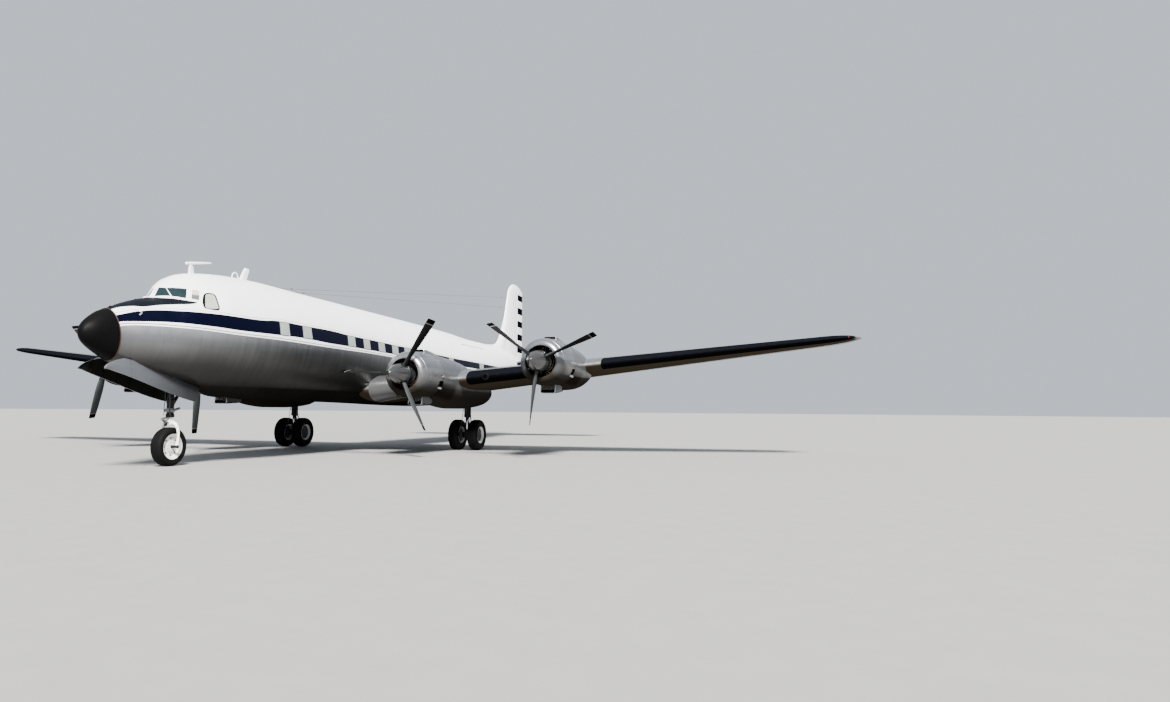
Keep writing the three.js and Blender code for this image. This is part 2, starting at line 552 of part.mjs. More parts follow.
// The doors of the nose gear hang from the well's edges, with their front ends under the radome.
const NOSE_DOOR = { x: 360, thick: 28, lean: 0.2, seatFrom: 1090, seatTo: 3440, seat: 250 };
const NOSE_DOOR_ROWS = [
  // station, upper edge, lower edge
  [365, 2450, 2420], [450, 2530, 2412], [594, 2600, 2374], [760, 2655, 2330], [930, 2692, 2285], [1090, 2675, 2242],
  [2942, 2192, 1739], [3290, 2101, 1684], [3383, 2077, 1740], [3440, 2062, 1960],
];
function noseDoor(side) {
  const d = NOSE_DOOR;
  const corner = (x, s, z) => new THREE.Vector3(side * x, station(s), z);
  const leaf = loft(NOSE_DOOR_ROWS.map(([s, top, low]) => {
    const out = d.x + d.lean * (top - low);
    return [corner(d.x, s, top), corner(d.x + d.thick, s, top), corner(out + d.thick, s, low), corner(out, s, low)];
  }));
  const edge = NOSE_DOOR_ROWS.filter(([s]) => s >= d.seatFrom && s <= d.seatTo);
  const seat = loft(edge.map(([s, top]) => [corner(d.x, s, top + d.seat), corner(d.x + d.thick, s, top + d.seat),
    corner(d.x + d.thick, s, top - 1), corner(d.x, s, top - 1)]));
  return leaf.add(seat).subtract(tubeGap);
}

// Fin, rudder, tailplane and elevators.
function finRing(z, grow = 0) {
  const top = Math.max(0, (z - 8050) / (FIN.tipZ - 8050));
  const lead0 = FIN.root + FIN.sweep * (z - FIN.rootZ);
  const chord0 = FIN.tail - lead0;
  const chord = Math.max(150, chord0 * Math.sqrt(1 - Math.min(1, top) ** 2));
  const lead = lead0 + (chord0 - chord) * 0.38;
  return aerofoil(chord, FIN.thickness, 0, 0, grow).map(([aft, up]) => new THREE.Vector3(up, station(lead + aft), z));
}
const DORSAL_ROWS = [
  // station, half width at its foot, height of its ridge
  [24300, 40, 4870], [25600, 90, 4925], [26150, 130, 5020], [26500, 160, 5210], [26900, 180, 5620], [27200, 170, 6100],
  [27480, 140, 6620],
];
const dorsal = loft(DORSAL_ROWS.map(([s, hw, ridge]) => [[-hw, 4400], [-hw * 0.7, ridge - 160], [-12, ridge], [12, ridge],
  [hw * 0.7, ridge - 160], [hw, 4400]].map(([x, z]) => new THREE.Vector3(x, station(s), z))));
const rudderFoot = new THREE.Vector3(0, station(FIN.hinge), FIN.foot + 40);
const rudderHead = new THREE.Vector3(0, station(FIN.hinge), 8330);
const finHalf = (z) => {
  const lead = FIN.root + FIN.sweep * (z - FIN.rootZ);
  const chord = FIN.tail - lead;
  return halfThickness((FIN.hinge - lead) / chord) * FIN.thickness * chord;
};
const fin = join(loft([4200, 8050, 8300, 8500, 8600, FIN.tipZ].map((z) => finRing(z)), true), dorsal)
  .subtract(cutOut(rudderFoot, rudderHead, finHalf(FIN.foot) + RUN, 1500, 2000, RUN))
  .subtract(box(-600, 600, station(FIN.hinge - 220), station(LENGTH), 3500, FIN.foot + 60))
  .subtract(tubeGap);
const rudder = surface(rudderFoot, rudderHead, [
  { at: 0, nose: finHalf(FIN.foot) - 6, chord: FIN.tail - FIN.hinge + 40, drop: 0 },
  { at: rudderHead.z - rudderFoot.z, nose: finHalf(8330) - 6, chord: FIN.tail - FIN.hinge - 60, drop: 0 },
]);

function tailAt(x) {
  const lead = TAILPLANE.lead + TAILPLANE.sweep * x;
  return { lead, chord: TAILPLANE.tail - 0.045 * x - lead };
}
function tailRing(x) {
  const t = tailAt(x);
  const reach = Math.max(0, (x - 5400) / (TAILPLANE.halfSpan - 5400));
  const chord = Math.max(150, t.chord * Math.sqrt(1 - Math.min(1, reach) ** 2));
  const lead = t.lead + (t.chord - chord) * 0.45;
  return aerofoil(chord, TAILPLANE.thickness).map(([aft, up]) => new THREE.Vector3(x, station(lead + aft), TAILPLANE.z + up));
}
const elevatorIn = new THREE.Vector3(ELEVATOR.innerX, station(TAILPLANE.hinge), TAILPLANE.z);
const elevatorOut = new THREE.Vector3(ELEVATOR.outerX, station(TAILPLANE.hinge), TAILPLANE.z);
const tailHalf = (x) => {
  const t = tailAt(x);
  return halfThickness((TAILPLANE.hinge - t.lead) / t.chord) * TAILPLANE.thickness * t.chord;
};
const tubeRun = rod([-700, elevatorIn.y, TAILPLANE.z], [700, elevatorIn.y, TAILPLANE.z], boreFor(ELEVATOR.tube, 12) + 8, 12);
const tailplane = loft([150, 5400, 5750, 5950, TAILPLANE.halfSpan].map((x) => tailRing(x)), true)
  .subtract(tubeGap)
  .subtract(cutOut(elevatorIn, elevatorOut, tailHalf(ELEVATOR.innerX) + RUN, 1800, 900, RUN))
  .subtract(box(0, ELEVATOR.innerX + 20, station(TAILPLANE.hinge - 150), station(LENGTH), 3000, 5000))
  .subtract(tubeRun);
const elevatorSpan = ELEVATOR.outerX - ELEVATOR.innerX;
const elevator = surface(elevatorIn, elevatorOut, [
  { at: 0, nose: tailHalf(ELEVATOR.innerX) - 6, chord: 1060, drop: 0 },
  { at: elevatorSpan, nose: tailHalf(ELEVATOR.outerX) - 6, chord: 800, drop: 0 },
]);
const elevators = join(elevator, mirrored(elevator),
  rod([-ELEVATOR.innerX - 50, elevatorIn.y, TAILPLANE.z], [ELEVATOR.innerX + 50, elevatorIn.y, TAILPLANE.z], ELEVATOR.tube, 12));

// Aerials on the roof: a mast with a bar across its head, and a raked blade.
const bladeRing = ([z, s, chord, thick]) => [[0, 0], [0.35, 0.5], [1, 0.15], [1, -0.15], [0.35, -0.5]]
  .map(([aft, across]) => new THREE.Vector3(across * thick, station(s + aft * chord), z));
const mast = join(
  loft([[5000, 3370, 200, 60], [5420, 3385, 115, 40]].map(bladeRing)),
  rod([0, station(3247), 5403], [0, station(4227), 5573], 26, 10, 14)).subtract(tubeGap);
const bladeAerial = loft([[5160, 5410, 320, 60], [5600, 5600, 255, 40], [5672, 5650, 195, 30]].map(bladeRing)).subtract(tubeGap);

// The pieces.
const rudderBoss = rod([0, rudderFoot.y, 4100], [0, rudderFoot.y, rudderFoot.z - RUN], 1.6 * HINGE_PIN, 12);
fuselage = fuselage.subtract(tubeRun).add(rudderBoss);
piece('fuselage', fuselage, MAT.body);
piece('cockpit_glazing', glazing, MAT.glass);
for (const [name, leaf] of doorPieces) piece(name, leaf, MAT.body);
piece('mast_aerial', mast, MAT.white);
piece('blade_aerial', bladeAerial, MAT.white);

for (const [side, turn] of SIDES) {
  piece(`wing_${side}`, turn(wing), MAT.metal);
  piece(`flap_${side}`, turn(flap.shape), MAT.metal);
  piece(`aileron_${side}`, turn(aileron.shape), MAT.metal);
  piece(`tailplane_${side}`, turn(tailplane), MAT.metal);
  piece(`main_leg_${side}`, turn(mainLeg), MAT.leg);
  piece(`main_axle_${side}`, turn(mainAxle), MAT.rim);
  piece(`main_tyre_outer_${side}`, turn(mainTyre.outer), MAT.tyre);
  piece(`main_tyre_inner_${side}`, turn(mainTyre.inner), MAT.tyre);
  piece(`nose_door_${side}`, noseDoor(side === 'port' ? 1 : -1), MAT.metal);
}

const wingGaps = { port: wingGap, starboard: mirrored(wingGap) };
for (const e of ENGINES) {
  const side = e.x > 0 ? 'port' : 'starboard';
  const housing = nacelleSkin(e).add(fairing(e, SCOOPS[0])).add(fairing(e, SCOOPS[1]));
  piece(`nacelle_${e.name}`, housing.subtract(wingGaps[side]), MAT.metal);
  piece(`cowling_${e.name}`, cowling(e), MAT.metal);
  piece(`engine_${e.name}`, engine(e), MAT.engine);
  const p = propeller(e);
  piece(`propeller_${e.name}`, join(p.spinner, ...p.blades), MAT.blade);
}

piece('fin', fin, MAT.white);
piece('rudder', rudder, MAT.white);
piece('elevators', elevators, MAT.metal);
piece('nose_leg', noseLeg, MAT.leg);
piece('nose_fork', noseFork, MAT.leg);
piece('nose_rim', rim(noseAt, N.rim, N.width, boreFor(NOSE_LEG.axle, WHEEL_SIDES)), MAT.rim);
piece('nose_tyre', tyre(noseAt, N.radius, N.width, N.rim), MAT.tyre);

export default aircraft;
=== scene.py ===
"""A four-engined piston transport aeroplane on its wheels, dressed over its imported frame.

Metres, +Z up, nose towards -Y and port side towards +X. A station is a distance aft of the nose tip.
"""

import logging
import math
from collections.abc import Callable, Iterator, Sequence
from contextlib import contextmanager
from dataclasses import dataclass, field
from enum import Enum

import bmesh
import bpy
from mathutils import Matrix, Vector


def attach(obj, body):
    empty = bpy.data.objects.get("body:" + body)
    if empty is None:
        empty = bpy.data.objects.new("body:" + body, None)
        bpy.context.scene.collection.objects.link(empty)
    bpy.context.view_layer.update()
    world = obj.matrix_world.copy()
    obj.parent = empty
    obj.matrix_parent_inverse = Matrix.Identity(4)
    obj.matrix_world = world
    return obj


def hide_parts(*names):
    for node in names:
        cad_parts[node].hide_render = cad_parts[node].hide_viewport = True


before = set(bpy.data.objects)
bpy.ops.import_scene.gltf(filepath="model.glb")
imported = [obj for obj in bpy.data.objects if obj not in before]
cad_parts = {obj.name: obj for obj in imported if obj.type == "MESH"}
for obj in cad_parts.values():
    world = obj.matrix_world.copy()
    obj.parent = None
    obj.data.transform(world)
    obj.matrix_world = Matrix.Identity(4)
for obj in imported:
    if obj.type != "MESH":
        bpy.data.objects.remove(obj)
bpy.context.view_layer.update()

# The nose tip's Y, the whole length and half the span.
NOSE_Y = -16.09
LENGTH = 32.18
HALF_SPAN = 17.905
# Vertices nearer than this are one, and faces thinner than this are taken out.
MERGE_DISTANCE = 2e-5
SLIVER_WIDTH = 1e-6

LOG = logging.getLogger("aeroplane")

Pair = tuple[float, float]
Rows = Sequence[Pair]
Point = tuple[float, float, float]
Ring = list[Point]
Test = Callable[[Vector, Vector], bool]
Piece = bpy.types.Object
Material = bpy.types.Material
Socket = bpy.types.NodeSocket
# A node's output, a number or a colour.
Value = Socket | float | tuple[float, ...]


def along(station: float) -> float:
    """The Y of a station."""
    return station + NOSE_Y


def mix(a: float, b: float, t: float) -> float:
    """The value a share t of the way from a to b."""
    return a + (b - a) * t


def spread(low: float, high: float, count: int) -> list[float]:
    """Evenly spaced values from low to high, both included."""
    return [mix(low, high, i / (count - 1)) for i in range(count)]


def turns(count: int, start: float = 0.0) -> list[float]:
    """Evenly spaced angles of a full turn, the first of them a share of a step from zero."""
    return [2 * math.pi * (k + start) / count for k in range(count)]


def polar(radius: float, turn: float, y: float) -> Point:
    """A point about the Y axis, at an angle from up towards port."""
    return (radius * math.sin(turn), y, radius * math.cos(turn))


def spun(degrees: float) -> Matrix:
    """A turn about the Y axis, from up towards port."""
    return Matrix.Rotation(math.radians(degrees), 4, "Y")


@dataclass
class FairLine:
    """A smooth line through the rows of a table that never swings past them.

    Attributes:
        knots: the (place, value) rows, by rising place.
        slopes: the slope at each row.
    """

    knots: Rows
    slopes: list[float] = field(init=False)

    def __post_init__(self) -> None:
        """Works out the slope at each row."""
        rows = self.knots
        steps = [(b[1] - a[1]) / (b[0] - a[0]) for a, b in zip(rows, rows[1:])]
        self.slopes = [steps[0]]
        for before, after in zip(steps, steps[1:]):
            same = before * after > 0
            self.slopes.append(2 * before * after / (before + after) if same else 0.0)
        self.slopes.append(steps[-1])

    def at(self, place: float) -> float:
        """The value at a place, held level beyond the ends."""
        rows = self.knots
        if place <= rows[0][0]:
            return rows[0][1]
        if place >= rows[-1][0]:
            return rows[-1][1]
        k = next(i for i in range(1, len(rows)) if rows[i][0] >= place) - 1
        (x0, y0), (x1, y1) = rows[k], rows[k + 1]
        h = x1 - x0
        t = (place - x0) / h
        a, b = self.slopes[k] * h, self.slopes[k + 1] * h
        return (
            y0 * (2 * t**3 - 3 * t**2 + 1) + a * (t**3 - 2 * t**2 + t)
            + y1 * (3 * t**2 - 2 * t**3) + b * (t**3 - t**2)
        )

    @classmethod
    def columns(cls, rows: Sequence[Sequence[float]]) -> "list[FairLine]":
        """A line for each column of a table after the first, which holds the places."""
        return [cls([(row[0], row[k]) for row in rows]) for k in range(1, len(rows[0]))]


class Bench:
    """The modelling bench: adds a primitive, shapes it in edit mode and finishes it."""

    @staticmethod
    def clear() -> None:
        """Leaves edit mode and deselects everything."""
        if bpy.context.object is not None and bpy.context.object.mode != "OBJECT":
            bpy.ops.object.mode_set(mode="OBJECT")
        bpy.ops.object.select_all(action="DESELECT")

    @staticmethod
    def pick(*objects: Piece) -> None:
        """Selects some objects alone, the first of them active."""
        Bench.clear()
        for item in objects:
            item.select_set(True)
        bpy.context.view_layer.objects.active = objects[0]

    @staticmethod
    def named(name: str) -> Piece:
        """Names the object that was just added."""
        obj = bpy.context.object
        obj.name = name
        obj.data.name = name
        return obj

    @staticmethod
    def circle(name: str, count: int) -> Piece:
        """A circle of edges, left in edit mode with all of it selected."""
        Bench.clear()
        bpy.ops.mesh.primitive_circle_add(vertices=count, radius=1.0, fill_type="NOTHING")
        obj = Bench.named(name)
        bpy.ops.object.mode_set(mode="EDIT")
        bpy.ops.mesh.select_all(action="SELECT")
        return obj

    @staticmethod
    @contextmanager
    def editing(obj: Piece) -> Iterator[None]:
        """Edit mode on one object, with everything in it selected."""
        Bench.pick(obj)
        bpy.ops.object.mode_set(mode="EDIT")
        bpy.ops.mesh.select_all(action="SELECT")
        yield
        bpy.ops.object.mode_set(mode="OBJECT")

    @staticmethod
    def place(obj: Piece, order: Sequence[int], ring: Sequence[Point]) -> None:
        """Moves the vertices of a ring, in order, to their points, in edit mode."""
        mesh = bmesh.from_edit_mesh(obj.data)
        mesh.verts.ensure_lookup_table()
        for index, point in zip(order, ring):
            mesh.verts[index].co = point
        bmesh.update_edit_mesh(obj.data)

    @staticmethod
    def follow(obj: Piece, order: Sequence[int]) -> list[int]:
        """The ring that was just extruded from another, in the same order."""
        mesh = bmesh.from_edit_mesh(obj.data)
        mesh.verts.index_update()
        mesh.verts.ensure_lookup_table()
        out = []
        for index in order:
            vert = mesh.verts[index]
            ends = (edge.other_vert(vert) for edge in vert.link_edges)
            out.append(next(end.index for end in ends if end.select))
        return out

    @staticmethod
    def loft(
        name: str, rings: Sequence[Ring], caps: tuple[bool, bool] = (True, True), angle: float = 30.0
    ) -> Piece:
        """A skin extruded from ring to ring, starting with a circle.

        Args:
            name: the new object's name.
            rings: rings of the same number of points.
            caps: whether the first and the last ring are closed by a face.
            angle: edges sharper than this, in degrees, stay sharp.

        Returns:
            The new object.
        """
        obj = Bench.circle(name, len(rings[0]))
        if caps[0]:
            bpy.ops.mesh.edge_face_add()
        order = list(range(len(rings[0])))
        Bench.place(obj, order, rings[0])
        for ring in rings[1:]:
            bpy.ops.mesh.extrude_edges_indiv()
            order = Bench.follow(obj, order)
            Bench.place(obj, order, ring)
        if caps[1]:
            bpy.ops.mesh.edge_face_add()
        bpy.ops.object.mode_set(mode="OBJECT")
        return Bench.tidy(obj, angle)

    @staticmethod
    def turned(
        name: str, outline: Rows, axis: str, at: Point, steps: int, angle: float = 30.0
    ) -> Piece:
        """A piece spun about a line through a point.

        Args:
            name: the new object's name.
            outline: the closed outline as (along the axis, radius).
            axis: "X", "Y" or "Z".
            at: the point on the axis that the outline is measured from.
            steps: how many steps a full turn takes.
            angle: edges sharper than this, in degrees, stay sharp.

        Returns:
            The new object.
        """
        line = {"X": Vector((1, 0, 0)), "Y": Vector((0, 1, 0)), "Z": Vector((0, 0, 1))}[axis]
        out = Vector((0, 0, 1)) if axis != "Z" else Vector((1, 0, 0))
        obj = Bench.circle(name, len(outline))
        Bench.place(obj, range(len(outline)), [tuple(Vector(at) + line * a + out * r) for a, r in outline])
        bpy.ops.mesh.spin(steps=steps, angle=2 * math.pi, center=at, axis=line, dupli=False)
        bpy.ops.object.mode_set(mode="OBJECT")
        return Bench.tidy(obj, angle)

    @staticmethod
    def tidy(obj: Piece, angle: float = 30.0) -> Piece:
        """Merges doubles, turns faces outwards and smooths all but the sharp edges."""
        with Bench.editing(obj):
            bpy.ops.mesh.remove_doubles(threshold=MERGE_DISTANCE)
            bpy.ops.mesh.dissolve_degenerate(threshold=SLIVER_WIDTH)
            bpy.ops.mesh.select_all(action="SELECT")
            bpy.ops.mesh.normals_make_consistent(inside=False)
        bpy.ops.object.shade_smooth_by_angle(angle=math.radians(angle))
        return obj

    @staticmethod
    def block(name: str, low: Point, high: Point, bevel: float = 0.0) -> Piece:
        """A block between two corners, with its edges rounded by a bevel."""
        Bench.clear()
        size = [b - a for a, b in zip(low, high)]
        middle = [(a + b) / 2 for a, b in zip(low, high)]
        bpy.ops.mesh.primitive_cube_add(size=1.0, location=middle, scale=size)
        obj = Bench.named(name)
        bpy.ops.object.transform_apply(location=True, rotation=True, scale=True)
        if bevel:
            Bench.modifier(obj, "BEVEL", width=bevel, segments=3)
            Bench.tidy(obj)
        return obj

    @staticmethod
    def rod(
        name: str, start: Point, end: Point, radius: float, tip: float | None = None, sides: int = 20
    ) -> Piece:
        """A round bar between two points, tapered where a tip radius is given, with its rims bevelled."""
        Bench.clear()
        a, b = Vector(start), Vector(end)
        turn = (b - a).to_track_quat("Z", "Y").to_euler()
        bpy.ops.mesh.primitive_cone_add(
            vertices=sides, radius1=radius, radius2=radius if tip is None else tip, depth=(b - a).length,
            location=(a + b) / 2, rotation=turn,
        )
        obj = Bench.named(name)
        bpy.ops.object.transform_apply(location=True, rotation=True, scale=True)
        Bench.modifier(
            obj, "BEVEL", width=min(radius, (b - a).length) * 0.12, segments=2, angle_limit=math.radians(50)
        )
        return Bench.tidy(obj)

    @staticmethod
    def rods(finish: "Coat", *rows: tuple[str, Point, Point, float, int]) -> list[Piece]:
        """Round bars of one finish, by rows of name, start, end, radius and number of sides."""
        return [Bench.dress(Bench.rod(*row[:4], sides=row[4]), finish) for row in rows]

    @staticmethod
    def pipe(name: str, path: Sequence[Point], radii: float | Sequence[float], sides: int = 14) -> Piece:
        """A tube that follows a path.

        Args:
            name: the new object's name.
            path: the points of its middle line.
            radii: one radius, or one for each point.
            sides: how many sides it has.

        Returns:
            The new object.
        """
        points = [Vector(p) for p in path]
        widths = [radii] * len(points) if isinstance(radii, (int, float)) else list(radii)
        tangents = []
        for i in range(len(points)):
            tangents.append((points[min(i + 1, len(points) - 1)] - points[max(i - 1, 0)]).normalized())
        side = tangents[0].orthogonal().normalized()
        rings = []
        for k, (point, tangent, width) in enumerate(zip(points, tangents, widths)):
            if k:
                side = tangents[k - 1].rotation_difference(tangent) @ side
            up = tangent.cross(side)
            rings.append(
                [
                    tuple(point + side * (width * math.cos(t)) + up * (width * math.sin(t)))
                    for t in turns(sides)
                ]
            )
        return Bench.loft(name, rings)

    @staticmethod
    def modifier(obj: Piece, kind: str, **settings: object) -> None:
        """Adds a modifier with its settings and applies it."""
        item = obj.modifiers.new(kind.lower(), kind)
        for key, value in settings.items():
            setattr(item, key, value)
        Bench.pick(obj)
        bpy.ops.object.modifier_apply(modifier=item.name)

    @staticmethod
    def carve(obj: Piece, tool: Piece) -> None:
        """Cuts a piece with another, which is used up."""
        Bench.modifier(obj, "BOOLEAN", object=tool, operation="DIFFERENCE", solver="EXACT")
        Bench.discard(tool)

    @staticmethod
    def discard(*objects: Piece) -> None:
        """Removes objects that have been used up."""
        for item in objects:
            bpy.data.objects.remove(item, do_unlink=True)

    @staticmethod
    def join(name: str, parts: Sequence[Piece]) -> Piece:
        """Joins parts into one object."""
        Bench.pick(*parts)
        if len(parts) > 1:
            bpy.ops.object.join()
        return Bench.named(name)

    @staticmethod
    def copy(obj: Piece, name: str, matrix: Matrix) -> Piece:
        """A copy with a mesh of its own, moved by a matrix. Its faces are turned where that mirrors it."""
        twin = obj.copy()
        twin.data = obj.data.copy()
        twin.name = name
        twin.data.name = name
        bpy.context.scene.collection.objects.link(twin)
        twin.data.transform(matrix)
        if matrix.determinant() < 0:
            twin.data.flip_normals()
        return twin

    @staticmethod
    def mirrored(obj: Piece, name: str) -> Piece:
        """The same piece on the other side of the aeroplane."""
        return Bench.copy(obj, name, Matrix.Scale(-1, 4, (1, 0, 0)))

    @staticmethod
    def dress(obj: Piece, *finishes: "Coat | Dressing") -> Piece:
        """Gives an object its finishes, the first of them on every face."""
        obj.data.materials.clear()
        for finish in finishes:
            obj.data.materials.append(PALETTE.of(finish))
        return obj

    @staticmethod
    def paint(obj: Piece, slot: int, test: Test = lambda middle, normal: True) -> None:
        """Gives another of its finishes to the faces that pass a test of their middle and normal."""
        for face in obj.data.polygons:
            if test(face.center, face.normal):
                face.material_index = slot

    @staticmethod
    def deliver(obj: Piece, body: str, slot: str, *nodes: str) -> None:
        """Hands a finished piece to the frame.

        Args:
            obj: the piece.
            body: the body it rides on.
            slot: the record's material slot; not used.
            nodes: the nodes it stands for.
        """
        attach(obj, body)
        if nodes:
            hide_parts(*nodes)
        LOG.info("%s rides on %s, %d faces", obj.name, body, len(obj.data.polygons))

    @staticmethod
    def deliver_pair(obj: Piece, body: str, slot: str, *nodes: str) -> None:
        """Hands over a port piece and its twin, with starboard for port in every name."""
        name, other, *others = (word.replace("port", "starboard") for word in (obj.name, body, *nodes))
        Bench.deliver(Bench.mirrored(obj, name), other, slot, *others)
        Bench.deliver(obj, body, slot, *nodes)


class Paintbox:
    """A material's nodes, laid out from its coordinates to its shader."""

    def __init__(self, name: str) -> None:
        """Starts a material with its Object coordinates split into x, y and z."""
        self.material = bpy.data.materials.new(name)
        self.material.use_nodes = True
        self.tree = self.material.node_tree
        self.shader = self.tree.nodes["Principled BSDF"]
        self.place = self.add("ShaderNodeTexCoord").outputs["Object"]
        split = self.add("ShaderNodeSeparateXYZ")
        self.feed(split.inputs[0], self.place)
        self.x, self.y, self.z = split.outputs

    def add(self, kind: str, **settings: object) -> bpy.types.Node:
        """Adds a node with some of its settings."""
        node = self.tree.nodes.new(kind)
        for key, value in settings.items():
            setattr(node, key, value)
        return node

    def feed(self, socket: Socket, value: Value) -> None:
        """Links a socket to an output, or sets it to a number or colour."""
        if isinstance(value, Socket):
            self.tree.links.new(value, socket)
        elif isinstance(value, tuple) and len(value) == 3 and socket.type == "RGBA":
            socket.default_value = (*value, 1.0)
        else:
            socket.default_value = value

    def math(self, operation: str, *values: Value) -> Socket:
        """One step of arithmetic."""
        node = self.add("ShaderNodeMath", operation=operation)
        for socket, value in zip(node.inputs, values):
            self.feed(socket, value)
        return node.outputs[0]

    def times(self, a: Value, b: Value) -> Socket:
        """The product of two values."""
        return self.math("MULTIPLY", a, b)

    def plus(self, a: Value, b: Value) -> Socket:
        """The sum of two values."""
        return self.math("ADD", a, b)

    def minus(self, a: Value, b: Value) -> Socket:
        """What is left of a value when another is taken from it."""
        return self.math("SUBTRACT", a, b)

    def most(self, a: Value, b: Value) -> Socket:
        """The larger of two values."""
        return self.math("MAXIMUM", a, b)

    def blend(self, share: Value, a: Value, b: Value) -> Socket:
        """A colour a share of the way from a to b."""
        node = self.add("ShaderNodeMix", data_type="RGBA")
        self.feed(node.inputs[0], share)
        self.feed(node.inputs[6], a)
        self.feed(node.inputs[7], b)
        return node.outputs[2]

    def step(self, value: Value, low: float, high: float, out: Pair = (0.0, 1.0)) -> Socket:
        """A clamped ramp from one number to another as a value goes from low to high."""
        node = self.add("ShaderNodeMapRange", clamp=True)
        for socket, number in zip(node.inputs, (value, low, high, *out)):
            self.feed(socket, number)
        return node.outputs[0]

    def below(self, value: Value, edge: Value, soft: float = 0.004) -> Socket:
        """1 where a value is below an edge, 0 above it."""
        return self.step(self.minus(edge, value), -soft, soft)

    def between(self, value: Value, low: Value, high: Value, soft: float = 0.004) -> Socket:
        """1 where a value is between two edges."""
        return self.times(self.below(low, value, soft), self.below(value, high, soft))

    def noise(self, scale: float, detail: float = 3.0, stretch: Point = (1.0, 1.0, 1.0)) -> Socket:
        """Noise about 0.5, stretched along the axes."""
        spot = self.add("ShaderNodeMapping")
        self.feed(spot.inputs[0], self.place)
        spot.inputs["Scale"].default_value = stretch
        node = self.add("ShaderNodeTexNoise")
        self.feed(node.inputs["Vector"], spot.outputs[0])
        node.inputs["Scale"].default_value = scale
        node.inputs["Detail"].default_value = detail
        return node.outputs[0]

    def seams(self, value: Value, pitch: float, width: float = 0.006) -> Socket:
        """1 on thin lines at every multiple of a pitch."""
        near = self.math("PINGPONG", value, pitch / 2)
        return self.step(near, width / 2, width, (1.0, 0.0))

    def cells(self, a: Value, a_pitch: float, b: Value, b_pitch: float) -> Socket:
        """A steady random number from 0 to 1 for each panel of a grid."""
        spot = self.add("ShaderNodeCombineXYZ")
        self.feed(spot.inputs[0], self.math("FLOOR", self.math("DIVIDE", a, a_pitch)))
        self.feed(spot.inputs[1], self.math("FLOOR", self.math("DIVIDE", b, b_pitch)))
        node = self.add("ShaderNodeTexWhiteNoise", noise_dimensions="2D")
        self.feed(node.inputs["Vector"], spot.outputs[0])
        return node.outputs[0]

    def edge(self, rows: Rows, low: float, high: float) -> Socket:
        """A height that follows a table of (station, height) rows.

        Args:
            rows: the table.
            low: a height below all of them.
            high: a height above all of them.

        Returns:
            The height at each station.
        """
        return self.curve(self.y, [(along(s), z) for s, z in rows], low, high)

    def curve(self, value: Value, rows: Rows, low: float, high: float) -> Socket:
        """A number that follows a table of (value, number) rows, all of them from low to high."""
        first, last = rows[0][0], rows[-1][0]
        node = self.add("ShaderNodeFloatCurve")
        line = node.mapping.curves[0]
        spots = [((s - first) / (last - first), (z - low) / (high - low)) for s, z in rows]
        line.points[0].location = spots[0]
        line.points[-1].location = spots[-1]
        for spot in spots[1:-1]:
            line.points.new(*spot)
        node.mapping.update()
        self.feed(node.inputs["Value"], self.step(value, first, last))
        return self.step(node.outputs[0], 0.0, 1.0, (low, high))

    def bump(self, height: Value, strength: float, distance: float) -> None:
        """Adds a bump, on top of any that is there."""
        node = self.add("ShaderNodeBump")
        node.inputs["Strength"].default_value = strength
        node.inputs["Distance"].default_value = distance
        self.feed(node.inputs["Height"], height)
        if self.shader.inputs["Normal"].links:
            self.feed(node.inputs["Normal"], self.shader.inputs["Normal"].links[0].from_socket)
        self.feed(self.shader.inputs["Normal"], node.outputs[0])

    def finish(self, color: Value, roughness: Value, metallic: Value, **more: Value) -> Material:
        """Sets the shader's sockets and returns the material."""
        self.feed(self.shader.inputs["Base Color"], color)
        self.feed(self.shader.inputs["Roughness"], roughness)
        self.feed(self.shader.inputs["Metallic"], metallic)
        for key, value in more.items():
            self.feed(self.shader.inputs[key.replace("_", " ")], value)
        return self.material


@dataclass(frozen=True)
class PlainFinish:
    """A worn, even finish: a colour that clouds a little, with fine grain and dirt.

    Attributes:
        name: the material's name.
        color: its colour.
        roughness: its roughness.
        metallic: how metallic it is.
        dirt: the colour of the dirt in it.
        dirt_share: how much dirt there is.
        grain: how many grains there are to a metre.
        relief: how high they stand, in metres.
        specular: how strongly it shines.
    """

    name: str
    color: Point
    roughness: float
    metallic: float = 0.0
    dirt: Point = (0.05, 0.045, 0.04)
    dirt_share: float = 0.25
    grain: float = 60.0
    relief: float = 0.0006
    specular: float = 0.5

    def material(self) -> Material:
        """Builds the material."""
        box = Paintbox(self.name)
        clouds = box.step(box.noise(2.3, 5.0), 0.35, 0.7)
        specks = box.step(box.noise(self.grain, 4.0), 0.45, 0.75)
        share = box.times(box.times(clouds, self.dirt_share), box.step(specks, 0.0, 1.0, (0.5, 1.0)))
        color = box.blend(share, self.color, self.dirt)
        rough = box.step(specks, 0.0, 1.0, (self.roughness * 0.85, min(1.0, self.roughness * 1.2)))
        box.bump(specks, 0.25, self.relief)
        return box.finish(color, rough, self.metallic, Specular_IOR_Level=self.specular)


